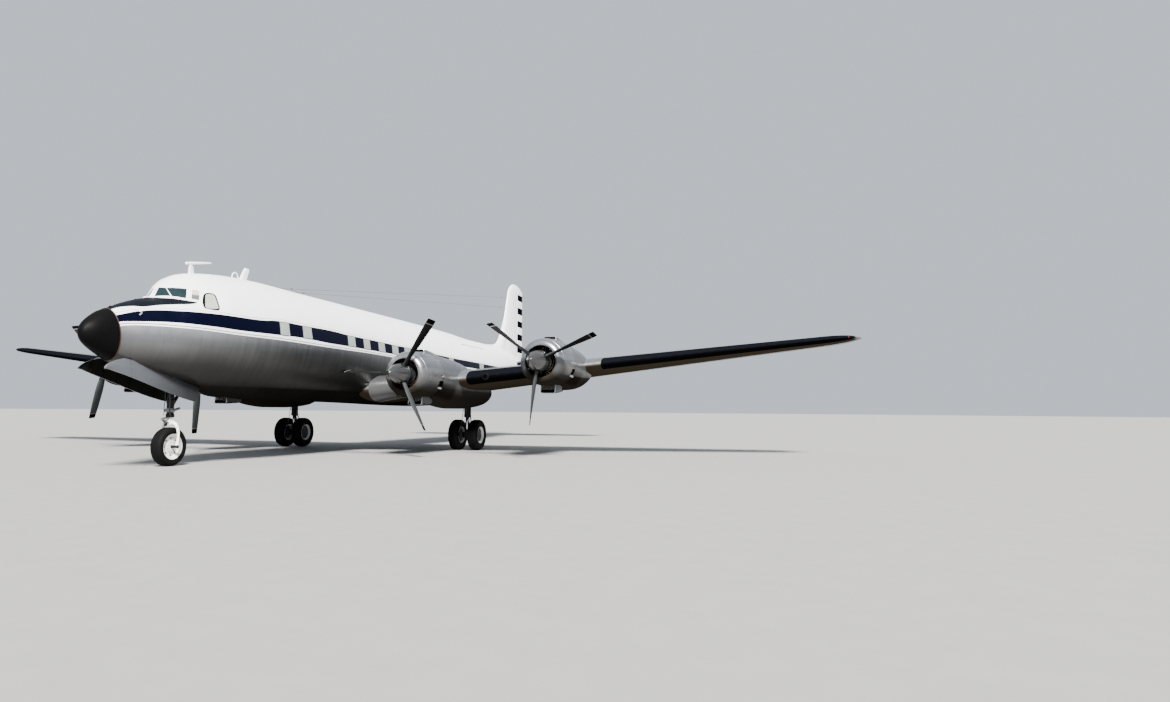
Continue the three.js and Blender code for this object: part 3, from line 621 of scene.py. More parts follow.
@dataclass(frozen=True)
class SheetMetal:
    """Riveted sheet metal in panels, streaked along the wind and dulled in patches.

    Attributes:
        name: the material's name.
        color: its colour.
        roughness: its roughness.
        metallic: how metallic it is.
        panel: the width and length of a panel.
        contrast: how far panels differ in brightness.
    """

    name: str
    color: Point
    roughness: float
    metallic: float = 0.85
    panel: Pair = (0.62, 0.9)
    contrast: float = 0.12

    def material(self) -> Material:
        """Builds the material."""
        box = Paintbox(self.name)
        color, rough = self.layers(box)
        return box.finish(color, rough, self.metallic)

    def layers(self, box: Paintbox) -> tuple[Value, Value]:
        """Lays the panels, streaks and rivets, and returns the colour and roughness."""
        dark = tuple(c * 0.62 for c in self.color)
        patch = box.cells(box.x, self.panel[0], box.y, self.panel[1])
        color = box.blend(box.step(patch, 0.0, 1.0, (0.0, self.contrast)), self.color, dark)
        streak = box.step(box.noise(5.0, 4.0, (2.5, 0.35, 1.0)), 0.38, 0.72)
        color = box.blend(box.times(streak, 0.35), color, dark)
        seams = box.most(box.seams(box.x, self.panel[0]), box.seams(box.y, self.panel[1]))
        rivets = box.times(box.seams(box.y, 0.045, 0.012), box.seams(box.x, self.panel[0] / 2, 0.012))
        color = box.blend(box.times(seams, 0.55), color, tuple(c * 0.3 for c in self.color))
        rough = box.step(box.noise(9.0, 5.0), 0.3, 0.75, (self.roughness * 0.75, self.roughness * 1.35))
        box.bump(seams, -0.4, 0.004)
        box.bump(rivets, 0.3, 0.002)
        return color, rough


@dataclass(frozen=True)
class DoorMetal(SheetMetal):
    """The nose wheel doors' metal, darkened towards the rear by painted shade.

    Attributes:
        fade: the (front, rear) stations between which the painted shade darkens it.
    """

    fade: Pair = (1.4, 3.0)

    def material(self) -> Material:
        """Builds the material."""
        box = Paintbox(self.name)
        color, rough = self.layers(box)
        # Painted shade: nearly black towards the rear.
        color = box.blend(
            box.step(box.y, along(self.fade[0]), along(self.fade[1]), (0.0, 0.78)), color,
            (0.004, 0.004, 0.004)
        )
        return box.finish(color, rough, self.metallic)


class Coat(Enum):
    """The plain finishes that several pieces share."""

    RADOME = PlainFinish(
        "radome_black", (0.0019, 0.0018, 0.0020), 0.55, 0.0, (0.0045, 0.0042, 0.0042), 0.3, specular=0.04
    )
    RIM_RED = PlainFinish("rim_red", (0.03, 0.006, 0.006), 0.5)
    WHITE = PlainFinish("white_enamel", (0.84, 0.85, 0.87), 0.32, 0.0, (0.35, 0.34, 0.32), 0.12)
    GEAR = PlainFinish(
        "gear_grey", (0.010, 0.0105, 0.012), 0.45, 0.2, (0.004, 0.0035, 0.003), 0.5, specular=0.2
    )
    GEAR_LIGHT = PlainFinish("gear_pale_grey", (0.16, 0.163, 0.168), 0.42, 0.2, (0.02, 0.018, 0.015), 0.35)
    CHROME = PlainFinish("chromed_steel", (0.55, 0.56, 0.57), 0.12, 1.0, (0.2, 0.2, 0.2), 0.15)
    POLISHED = PlainFinish("polished_metal", (0.42, 0.43, 0.45), 0.24, 0.9, (0.2, 0.19, 0.18), 0.2)
    SPINNER = PlainFinish(
        "spinner_metal", (0.013, 0.0135, 0.0145), 0.28, 0.0, (0.008, 0.0075, 0.007), 0.3, specular=0.9
    )
    DULL = PlainFinish("dull_metal", (0.10, 0.102, 0.107), 0.40, 0.7, (0.025, 0.022, 0.02), 0.35)
    RUBBER = PlainFinish(
        "tyre_rubber", (0.0030, 0.0030, 0.0034), 0.75, 0.0, (0.010, 0.009, 0.008), 0.3, 90.0, 0.0012, 0.05
    )
    DISC_GREY = PlainFinish(
        "wheel_grey", (0.065, 0.068, 0.066), 0.5, 0.2, (0.012, 0.011, 0.010), 0.45, specular=0.2
    )
    DISC_WHITE = PlainFinish("wheel_white", (0.72, 0.72, 0.71), 0.42, 0.0, (0.22, 0.20, 0.17), 0.3)
    HUB_RED = PlainFinish(
        "hub_red", (0.03, 0.004, 0.004), 0.5, 0.0, (0.01, 0.004, 0.004), 0.4, specular=0.2
    )
    ENGINE = PlainFinish(
        "engine_grey", (0.014, 0.014, 0.016), 0.5, 0.3, (0.004, 0.0035, 0.003), 0.5, specular=0.2
    )
    IRON = PlainFinish(
        "cylinder_black", (0.003, 0.003, 0.0034), 0.6, 0.2, (0.012, 0.009, 0.007), 0.35, specular=0.1
    )
    BRASS = PlainFinish("ignition_brass", (0.07, 0.05, 0.024), 0.35, 0.7, (0.012, 0.009, 0.006), 0.4)
    SOOT = PlainFinish(
        "exhaust_soot", (0.003, 0.0026, 0.0024), 0.7, 0.0, (0.01, 0.008, 0.006), 0.4, specular=0.05
    )
    LINING = PlainFinish("cabin_lining", (0.05, 0.053, 0.05), 0.7, 0.0, (0.015, 0.015, 0.014), 0.4)
    # Painted shade: the well's green paint darkened nearly to black.
    WELL = PlainFinish(
        "well_green_in_shade", (0.006, 0.0065, 0.0055), 0.8, 0.0, (0.003, 0.003, 0.0024), 0.5, specular=0.05
    )
    CABLE = PlainFinish("aerial_wire", (0.05, 0.05, 0.053), 0.5, 0.3)
    LENS = PlainFinish("lamp_lens", (0.30, 0.32, 0.33), 0.06, 0.1, (0.2, 0.2, 0.2), 0.2)
    RED_LENS = PlainFinish("red_lens", (0.10, 0.004, 0.004), 0.08, 0.0, (0.05, 0.01, 0.01), 0.2)
    # Painted shade: near black and without shine, for hollows, openings and the space behind parts.
    SPACE = PlainFinish(
        "deep_shade", (0.0012, 0.0012, 0.0014), 0.9, 0.0, (0.003, 0.003, 0.003), 0.3, specular=0.0
    )


class Palette:
    """The materials, each built the first time that it is asked for."""

    def __init__(self) -> None:
        """Starts with no materials."""
        self.made: dict[str, Material] = {}

    def of(self, finish: "Coat | Dressing") -> Material:
        """The material of a finish."""
        plan = finish.value if isinstance(finish, Coat) else finish
        if plan.name not in self.made:
            self.made[plan.name] = plan.material()
        return self.made[plan.name]


PALETTE = Palette()


@dataclass(frozen=True)
class CurtainGlass:
    """A drawn curtain in soft pleats behind a clear pane.

    Attributes:
        name: the material's name.
        color: the curtain's colour.
        fold: the width of a pleat.
        sill: where the curtain ends and the room behind it shows in painted shade, if it does.
    """

    name: str
    color: Point
    fold: float = 0.055
    sill: float = 0.0

    def material(self) -> Material:
        """Builds the material."""
        box = Paintbox(self.name)
        sway = box.times(box.noise(3.0, 2.0), 0.05)
        wave = box.math("SINE", box.times(box.plus(box.y, sway), 2 * math.pi / self.fold))
        # Painted shade in the pleats' folds.
        shade = box.step(wave, -1.0, 1.0, (0.30, 0.0))
        cloth = box.blend(shade, self.color, tuple(c * 0.45 for c in self.color))
        cloth = box.blend(box.step(box.noise(1.7, 3.0), 0.35, 0.7, (0.0, 0.3)), cloth, (0.14, 0.17, 0.155))
        # Below the sill, the room behind is painted shade.
        if self.sill:
            cloth = box.blend(box.below(box.z, self.sill, 0.02), cloth, (0.007, 0.014, 0.017))
        box.bump(wave, 0.08, 0.004)
        return box.finish(cloth, 0.45, 0.0, Coat_Weight=1.0, Coat_Roughness=0.04)


@dataclass(frozen=True)
class DarkGlass:
    """A tinted pane whose dark colour is a painted shade of the room behind it.

    Attributes:
        name: the material's name.
        color: its tint, dark as painted shade.
    """

    name: str
    color: Point

    def material(self) -> Material:
        """Builds the material."""
        box = Paintbox(self.name)
        rise = box.step(box.noise(1.4, 2.0), 0.3, 0.7)
        color = box.blend(rise, self.color, tuple(c * 1.9 for c in self.color))
        film = box.step(box.noise(35.0, 4.0), 0.4, 0.8, (0.03, 0.10))
        return box.finish(color, film, 0.0, Specular_IOR_Level=0.5)


@dataclass(frozen=True)
class HullPaint:
    """Bare metal below, a white line, a navy stripe and white above, and a dark panel on the nose.

    Attributes:
        name: the material's name.
        stripe_top: (station, height) rows of the navy stripe's upper edge.
        stripe_low: rows of its lower edge.
        line_low: rows of the lower edge of the white line under it.
        glare: rows of the lower edge of the dark panel on the nose.
        shade: (height, brightness) rows of the bare metal, a painted shade that darkens it low down.
        front: (station, factor) rows that its brightness is multiplied by, a painted light that brightens
            the nose.
        strip_end: the station where the second white line ends.
        panel: the length and height of a panel.
        navy: the stripe's colour.
        white: the colour above it.
    """

    name: str
    stripe_top: Rows
    stripe_low: Rows
    line_low: Rows
    glare: Rows
    shade: Rows = (
        (1.6, 0.0040), (2.0, 0.0040), (2.4, 0.0062), (2.7, 0.0130), (3.0, 0.026), (3.2, 0.040),
        (3.35, 0.070), (3.6, 0.13)
    )
    front: Rows = ((0.7, 4.4), (2.0, 3.8), (4.5, 2.6), (8.0, 1.7), (12.0, 1.7), (30.0, 1.6))
    strip_end: float = 12.0
    panel: Pair = (0.96, 0.52)
    navy: Point = (0.0006, 0.0010, 0.0062)
    white: Point = (0.84, 0.85, 0.87)

    def material(self) -> Material:
        """Builds the material."""
        box = Paintbox(self.name)
        top = box.edge(self.stripe_top, 3.3, 4.3)
        low = box.edge(self.stripe_low, 3.2, 4.2)
        line = box.edge(self.line_low, 3.2, 4.2)
        fore = box.below(box.y, along(self.strip_end))
        down = box.minus(line, box.z)
        seams = box.most(
            box.seams(box.y, self.panel[0], 0.005), box.times(box.seams(box.z, self.panel[1], 0.005), 0.4)
        )
        strip = box.times(box.between(down, 0.020, 0.058), fore)
        hairs = box.most(box.between(down, 0.0, 0.020), box.between(down, 0.058, 0.070))
        color = box.blend(
            box.times(box.times(hairs, fore), 0.8), self.sheet(box, seams), (0.07, 0.07, 0.072)
        )
        soil = box.times(box.step(box.noise(1.6, 5.0, (1, 1, 0.3)), 0.4, 0.75), 0.12)
        white = box.blend(soil, self.white, (0.52, 0.52, 0.52))
        white = box.blend(box.times(seams, 0.12), white, (0.25, 0.25, 0.26))
        painted = box.most(box.below(down, 0.0), strip)
        color = box.blend(painted, color, white)
        upper = box.between(box.z, box.plus(top, 0.045), box.plus(top, 0.058))
        color = box.blend(box.times(upper, 0.9), color, (0.16, 0.17, 0.17))
        navy = box.between(box.z, low, top)
        color = box.blend(navy, color, self.navy)
        panel = self.glare_panel(box)
        color = box.blend(panel, color, (0.0030, 0.0038, 0.0058))
        rough = box.times(
            box.step(box.noise(6.0, 5.0), 0.3, 0.75, (0.28, 0.42)), box.step(panel, 0.0, 1.0, (1.0, 1.3))
        )
        # Metal and shine fade out low down, so the lower hull shows no reflection: part of the painted
        # shade.
        sheen = box.step(box.z, 2.1, 3.3)
        metallic = box.times(box.times(box.minus(1.0, painted), 0.8), sheen)
        shine = box.step(box.most(navy, panel), 0.0, 1.0, (0.4, 0.05))
        shine = box.times(shine, sheen)
        box.bump(seams, -0.3, 0.003)
        rivets = box.times(box.seams(box.y, 0.05, 0.012), box.seams(box.z, 0.26, 0.010))
        box.bump(rivets, 0.2, 0.0012)
        box.bump(box.noise(1.1, 2.0, (1.0, 1.0, 1.6)), 0.08, 0.02)
        return box.finish(color, rough, metallic, Specular_IOR_Level=shine)

    def sheet(self, box: Paintbox, seams: Value) -> Value:
        """The bare metal's colour: painted shade low down, painted light towards the nose and a painted
        reflection, bluish up high and brownish low down, in panels, with faint streaks.
        """
        # Painted shade by height, times painted light that grows towards the nose.
        light = box.times(box.curve(box.z, self.shade, 0.0, 0.2), box.edge(self.front, 0.0, 5.0))
        patch = box.step(box.cells(box.y, self.panel[0], box.z, self.panel[1]), 0.0, 1.0, (0.93, 1.05))
        streak = box.step(box.noise(3.2, 4.0, (0.6, 2.6, 0.06)), 0.35, 0.70, (-0.17, 0.15))
        streak = box.times(streak, box.step(box.y, along(2.5), along(6.0), (0.25, 1.0)))
        clouds = box.step(box.noise(0.9, 3.0, (1.0, 0.6, 1.6)), 0.3, 0.7, (0.86, 1.12))
        light = box.times(box.times(light, patch), box.times(box.plus(streak, 1.0), clouds))
        light = box.times(light, box.step(seams, 0.0, 1.0, (1.0, 0.72)))
        # Painted reflection: a bluish cast up high and a brownish cast low down.
        tint = box.blend(box.step(box.z, 3.2, 2.0), (0.97, 1.0, 1.05), (1.0, 0.93, 0.83))
        return box.blend(light, (0.0, 0.0, 0.0), tint)

    def glare_panel(self, box: Paintbox) -> Value:
        """1 on the dark panel on top of the nose, pointed at both ends."""
        reach = box.below(box.y, along(self.glare[-1][0]), 0.01)
        limit = box.step(box.y, along(2.3), along(self.glare[-1][0]), (4.305, 4.262))
        return box.times(reach, box.between(box.z, box.edge(self.glare, 3.7, 4.3), limit, 0.006))


@dataclass(frozen=True)
class WingPaint(SheetMetal):
    """Wing skin in bare metal, in painted shade underneath, with a black rubber boot on its leading edge.

    Attributes:
        lead: the station of the leading edge at the middle and how far it moves aft a metre out.
        rise: the leading edge's height at the middle, its rise a metre out and its fall a metre aft.
        reach: how far aft the boot reaches.
        bare: the (inner, outer) distances out of stretches with no boot.
    """

    lead: Pair = (10.58, 0.146)
    rise: tuple[float, float, float] = (2.09, 0.1095, 0.045)
    reach: float = 0.34
    bare: Rows = ((0.0, 2.15), (4.2, 4.74), (8.7, 9.36))

    def material(self) -> Material:
        """Builds the material."""
        box = Paintbox(self.name)
        color, rough = self.layers(box)
        out = box.math("ABSOLUTE", box.x)
        lead = box.plus(along(self.lead[0]), box.times(out, self.lead[1]))
        aft = box.minus(box.y, lead)
        middle = box.plus(self.rise[0], box.times(out, self.rise[1]))
        # Painted shade underneath: dark brown, with no metal or shine.
        under = box.below(box.z, box.minus(middle, box.times(aft, self.rise[2])), 0.05)
        color = box.blend(under, color, (0.034, 0.027, 0.019))
        boot = box.below(aft, self.reach)
        for inner, outer in self.bare:
            boot = box.times(boot, box.minus(1.0, box.between(out, inner, outer)))
        lines = box.seams(box.y, 0.05, 0.006)
        # The boot's top is lighter and bluer than its underside: a painted sky reflection.
        top = box.below(box.plus(middle, -0.02), box.z, 0.05)
        rubber = box.blend(
            box.times(lines, 0.3), box.blend(top, (0.0018, 0.0018, 0.0019), (0.0030, 0.0034, 0.0052)),
            (0.006, 0.006, 0.007)
        )
        color = box.blend(boot, color, rubber)
        rough = box.most(rough, box.times(boot, 0.5))
        bright = box.minus(1.0, box.most(boot, under))
        return box.finish(
            color, rough, box.times(bright, self.metallic), Specular_IOR_Level=box.times(bright, 0.5)
        )


@dataclass(frozen=True)
class TailPaint:
    """White enamel with dark bars across the rudder.

    Attributes:
        name: the material's name.
        bars: (low, high) heights of the bars.
        hinge: the station that they start at.
    """

    name: str
    bars: Rows = ()
    hinge: float = 29.30

    def material(self) -> Material:
        """Builds the material."""
        box = Paintbox(self.name)
        soil = box.times(box.step(box.noise(1.8, 5.0, (1, 1, 0.4)), 0.4, 0.75), 0.2)
        color = box.blend(soil, (0.84, 0.85, 0.87), (0.50, 0.50, 0.50))
        seams = box.most(box.seams(box.y, 0.8, 0.006), box.seams(box.z, 0.66, 0.006))
        color = box.blend(box.times(seams, 0.3), color, (0.25, 0.25, 0.26))
        aft = box.below(along(self.hinge), box.y)
        marks: Value = 0.0
        for low, high in self.bars:
            bar = box.times(aft, box.between(box.z, low, high, 0.006))
            color = box.blend(bar, color, (0.0024, 0.0014, 0.0034))
            marks = box.most(marks, bar)
        box.bump(seams, -0.3, 0.003)
        rough = box.step(box.noise(12.0, 4.0), 0.3, 0.7, (0.28, 0.42))
        return box.finish(color, rough, 0.0, Specular_IOR_Level=box.step(marks, 0.0, 1.0, (0.5, 0.0)))


@dataclass(frozen=True)
class BladePaint:
    """Dark propeller blades with a white band before a black tip.

    Attributes:
        name: the material's name.
        centre: the x and z of the propeller's axis.
        color: the blade's own colour.
        metallic: how metallic it is.
        band: the radii where the white band starts and ends.
    """

    name: str
    centre: Pair
    color: Point = (0.0080, 0.0084, 0.0082)
    metallic: float = 0.0
    band: Pair = (1.815, 1.84)

    def material(self) -> Material:
        """Builds the material."""
        box = Paintbox(self.name)
        across = box.minus(box.x, self.centre[0])
        up = box.minus(box.z, self.centre[1])
        out = box.math("SQRT", box.plus(box.math("POWER", across, 2.0), box.math("POWER", up, 2.0)))
        worn = box.times(box.step(box.noise(14.0, 6.0), 0.45, 0.75), 0.35)
        color = box.blend(worn, self.color, tuple(c * 1.8 for c in self.color))
        color = box.blend(box.below(self.band[0], out), color, (0.12, 0.12, 0.115))
        color = box.blend(box.below(self.band[1], out), color, (0.0018, 0.0018, 0.0022))
        rough = box.step(box.noise(22.0, 4.0), 0.3, 0.7, (0.30, 0.48))
        box.bump(worn, 0.2, 0.0008)
        return box.finish(color, rough, self.metallic, Specular_IOR_Level=0.0)


@dataclass(frozen=True)
class CowlPaint(SheetMetal):
    """Cowling metal: bright on top, darker round the sides and dark brown underneath, a painted shade, with
    oil smears and soot.

    Attributes:
        centre: the x and z of the thrust line.
        face: the station that it is measured from.
        soot: the (front, rear) distances aft of the soot behind the exhausts, if there is any.
        sector: the angle between lengthwise seams.
        hoop: the distance between the seams that run round.
    """

    centre: Pair = (0.0, 0.0)
    face: float = 0.0
    soot: Pair | None = None
    sector: float = math.pi / 5
    hoop: float = 0.48

    def material(self) -> Material:
        """Builds the material."""
        box = Paintbox(self.name)
        across = box.minus(box.x, self.centre[0])
        up = box.minus(box.z, self.centre[1])
        turn = box.math("ARCTAN2", across, up)
        rise = box.math("COSINE", turn)
        aft = box.minus(box.y, along(self.face))
        rings = box.most(
            box.seams(box.plus(aft, 0.28), self.hoop, 0.006), box.seams(turn, self.sector, 0.010)
        )
        # Painted shade: darker round the sides, then dark brown underneath.
        color = box.blend(box.step(rise, 0.7, -0.2), self.color, tuple(c * 0.42 for c in self.color))
        color = box.blend(box.step(rise, 0.15, -0.75), color, (0.0160, 0.0135, 0.0110))
        patch = box.cells(turn, self.sector, aft, self.hoop)
        smear = box.step(box.noise(4.0, 5.0, (1, 0.4, 1)), 0.42, 0.8, (0.0, 0.25))
        color = box.blend(
            box.plus(smear, box.step(patch, 0.0, 1.0, (0.0, 0.10))), color, (0.02, 0.0175, 0.015)
        )
        color = box.blend(box.times(rings, 0.35), color, (0.015, 0.015, 0.016))
        if self.soot:
            spread_out = box.times(
                box.between(aft, *self.soot, 0.10), box.between(rise, -0.86, -0.34, 0.05)
            )
            color = box.blend(box.times(spread_out, 0.85), color, (0.007, 0.0055, 0.0045))
        rough = box.step(box.noise(8.0, 5.0), 0.3, 0.75, (self.roughness * 0.85, self.roughness * 1.25))
        studs = box.times(box.seams(aft, self.hoop / 4, 0.014), box.seams(turn, self.sector, 0.03))
        box.bump(rings, -0.35, 0.003)
        box.bump(studs, 0.25, 0.002)
        # Metal and shine fade out underneath with the painted shade.
        unshaded = box.step(rise, -0.55, 0.35)
        return box.finish(
            color, rough, box.times(unshaded, self.metallic), Specular_IOR_Level=box.times(unshaded, 0.5)
        )


Dressing = PlainFinish | SheetMetal | CurtainGlass | DarkGlass | HullPaint | TailPaint | BladePaint


# The hull is pinched beside the windshield: the height where that starts and the height over which it
# grows, then the height where it ends and the height over which it fades.
PINCH_FOOT, PINCH_GROWTH = 4.0, 0.35
PINCH_HEAD, PINCH_FADE = 4.95, 0.45


@dataclass(frozen=True)
class HullShape:
    """The smooth skin of the fuselage: an ellipse at every station.

    Attributes:
        wide: its half width, by the square root of the station.
        top: the height of its crown, likewise.
        low: the height of its keel, likewise.
        pinch: how much narrower the flight deck's front is, as a share, by station.
    """

    wide: FairLine
    top: FairLine
    low: FairLine
    pinch: FairLine

    @classmethod
    def through(cls, rows: Sequence[tuple[float, float, float, float]]) -> "HullShape":
        """The skin through rows of (station, half width, top, bottom)."""
        pinch = FairLine(((1.6, 0.0), (2.05, 0.17), (2.4, 0.28), (2.7, 0.24), (3.0, 0.09), (3.4, 0.0)))
        return cls(*FairLine.columns([(math.sqrt(station), *rest) for station, *rest in rows]), pinch)

    def extent(self, station: float) -> tuple[float, float, float]:
        """Its half width, half height and the height of its middle at a station."""
        root = math.sqrt(station)
        top, low = self.top.at(root), self.low.at(root)
        return self.wide.at(root), (top - low) / 2, (top + low) / 2

    def point(self, station: float, turn: float, out: float = 0.0) -> Point:
        """A point at an angle from the crown towards port, and some way outside the skin."""
        wide, half, middle = self.extent(station)
        z = middle + (half + out) * math.cos(turn)
        return ((wide + out) * math.sin(turn) * self.squeeze(station, z), along(station), z)

    def squeeze(self, station: float, z: float) -> float:
        """The share of its width that is left at a height beside the windshield."""
        rise = max(0.0, min(1.0, (z - PINCH_FOOT) / PINCH_GROWTH))
        fall = max(0.0, min(1.0, (PINCH_HEAD - z) / PINCH_FADE))
        return 1.0 - self.pinch.at(station) * rise**2 * (3 - 2 * rise) * fall**2 * (3 - 2 * fall)

    def side(self, station: float, height: float, out: float = 0.0, sign: int = 1) -> Point:
        """A point at a height, to port or, for a sign of -1, to starboard."""
        _, half, middle = self.extent(station)
        turn = math.acos(max(-1.0, min(1.0, (height - middle) / half)))
        x, y, z = self.point(station, turn, out)
        return (sign * x, y, z)

    def patch(
        self, name: str, stations: Sequence[float], heights: Sequence[float], low: float, high: float,
        sign: int = 1
    ) -> Piece:
        """A solid piece of the skin.

        Args:
            name: the new object's name.
            stations: the stations of its sections.
            heights: the heights of the points of a section.
            low: how far outside the skin its inner face lies.
            high: how far outside its outer face lies.
            sign: 1 to port, -1 to starboard.

        Returns:
            The new object.
        """
        rings = []
        for s in stations:
            outer = [self.side(s, z, high, sign) for z in heights]
            inner = [self.side(s, z, low, sign) for z in reversed(heights)]
            rings.append(outer + inner)
        return Bench.loft(name, rings)


HULL = HullShape.through(
    (
        (0.0, 0.03, 3.26, 3.22), (0.06, 0.135, 3.445, 3.065), (0.25, 0.275, 3.63, 2.915),
        (0.5, 0.36, 3.80, 2.775), (0.8, 0.43, 3.92, 2.635), (1.2, 0.60, 4.08, 2.47),
        (1.7, 0.82, 4.24, 2.375), (2.05, 0.96, 4.335, 2.31), (2.3, 1.05, 4.575, 2.265),
        (2.6, 1.14, 4.84, 2.20), (3.0, 1.24, 5.06, 2.14), (3.44, 1.33, 5.15, 2.07), (4.0, 1.42, 5.22, 1.98),
        (4.8, 1.51, 5.275, 1.86), (5.8, 1.575, 5.29, 1.775), (7.0, 1.59, 5.26, 1.755),
        (10.0, 1.59, 5.205, 1.735), (16.0, 1.59, 5.095, 1.635), (18.9, 1.561, 5.022, 1.698),
        (21.9, 1.427, 4.885, 2.015), (24.0, 1.20, 4.86, 2.42), (26.5, 0.88, 4.75, 2.95),
        (28.5, 0.60, 4.50, 3.40), (29.7, 0.42, 4.20, 3.59), (31.0, 0.24, 4.03, 3.69),
        (32.18, 0.04, 3.90, 3.82)
    )
)

STRIPE_TOP = (
    (0.70, 3.70), (0.88, 3.755), (1.32, 3.875), (1.78, 3.94), (2.19, 3.962), (2.6, 3.971), (3.15, 3.975),
    (4.5, 3.967), (5.34, 4.02), (6.27, 4.003), (7.88, 3.989), (8.95, 3.937), (10.39, 3.901), (11.43, 3.873),
    (12.43, 3.841), (13.42, 3.828), (16.83, 3.702), (20.42, 3.649), (25.0, 3.60), (27.0, 3.57)
)
STRIPE_LOW = (
    (0.70, 3.53), (0.81, 3.56), (1.2, 3.598), (1.64, 3.63), (2.09, 3.645), (2.55, 3.637), (3.12, 3.626),
    (3.76, 3.605), (5.29, 3.61), (6.21, 3.619), (7.8, 3.572), (8.88, 3.561), (10.32, 3.535), (11.37, 3.516),
    (12.36, 3.495), (16.77, 3.412), (20.42, 3.36), (24.5, 3.38), (27.0, 3.568)
)
LINE_LOW = (
    (0.70, 3.48), (0.75, 3.507), (1.62, 3.576), (2.55, 3.573), (3.77, 3.538), (5.29, 3.529), (7.25, 3.503),
    (10.5, 3.478), (12.36, 3.438), (16.77, 3.355), (20.42, 3.31), (24.5, 3.36), (27.0, 3.568),
)
GLARE = (
    (0.70, 3.84), (1.187, 3.976), (1.395, 3.986), (1.786, 4.066), (2.156, 4.127), (2.614, 4.198),
    (2.75, 4.26)
)

SKIN = HullPaint("hull_skin", STRIPE_TOP, STRIPE_LOW, LINE_LOW, GLARE)


def rounded(width: float, height: float, radius: float, arc: int = 5) -> list[Pair]:
    """A rounded rectangle about its middle, as points in order."""
    out = []
    for k, (sx, sy) in enumerate(((1, 1), (-1, 1), (-1, -1), (1, -1))):
        cx, cy = sx * (width / 2 - radius), sy * (height / 2 - radius)
        for i in range(arc + 1):
            turn = math.pi / 2 * (k + i / arc)
            out.append((cx + radius * math.cos(turn), cy + radius * math.sin(turn)))
    return out


@dataclass
class CabinWindow:
    """A cabin window: a raised frame around a curtained pane, on the hull's skin.

    Attributes:
        fore: the station of its front edge.
        aft: the station of its rear edge.
        sign: 1 to port, -1 to starboard.
        border: the width of its frame.
        corner: how round its corners are.
        inset: how far the frame slopes down to the pane.
    """

    fore: float
    aft: float
    sign: int = 1
    border: float = 0.012
    corner: float = 0.06
    inset: float = 0.004

    def build(self, name: str) -> Piece:
        """Builds the window in the stripe, its pane bent with the hull."""
        middle = (self.fore + self.aft) / 2
        top = FairLine(STRIPE_TOP).at(middle) - self.inset
        low = FairLine(STRIPE_LOW).at(middle) + self.inset
        centre, edge = (top + low) / 2, self.border + self.inset
        wide, tall = self.aft - self.fore, top - low

        def ring(shrink: float, out: float, share: float = 1.0) -> Ring:
            outline = rounded(wide - 2 * shrink, tall - 2 * shrink, self.corner - shrink * 0.8)
            return [HULL.side(middle + u * share, centre + v * share, out, self.sign) for u, v in outline]

        frame_rows = ((0.0, -0.03), (0.0, 0.006), (0.006, 0.010), (self.border, 0.010), (edge, self.inset))
        rings = [ring(shrink, out) for shrink, out in frame_rows]
        rings += [ring(edge, self.inset, share) for share in (0.82, 0.62, 0.40, 0.18, 0.04)]
        obj = Bench.loft(name, rings, angle=25.0)
        Bench.dress(obj, Coat.DULL, CABIN_CURTAIN)

        def glazed(c: Vector, _: Vector) -> bool:
            return abs(c.y - along(middle)) < wide / 2 - edge and abs(c.z - centre) < tall / 2 - edge

        Bench.paint(obj, 1, glazed)
        return obj


CABIN_CURTAIN = CurtainGlass("cabin_curtain", (0.27, 0.315, 0.28))
COCKPIT_CURTAIN = CurtainGlass("cockpit_curtain", (0.34, 0.37, 0.33), 0.07)
COCKPIT_GLASS = DarkGlass("windshield_glass", (0.0040, 0.0100, 0.0120))
CABIN_SPANS = (
    (5.30, 5.73), (6.37, 6.84), (8.88, 9.35), (9.88, 10.32), (10.89, 11.36), (11.88, 12.36), (12.84, 13.35),
    (13.87, 14.35), (14.88, 15.36), (16.84, 17.33),
)
CARGO_WINDOW = (20.36, 20.94)


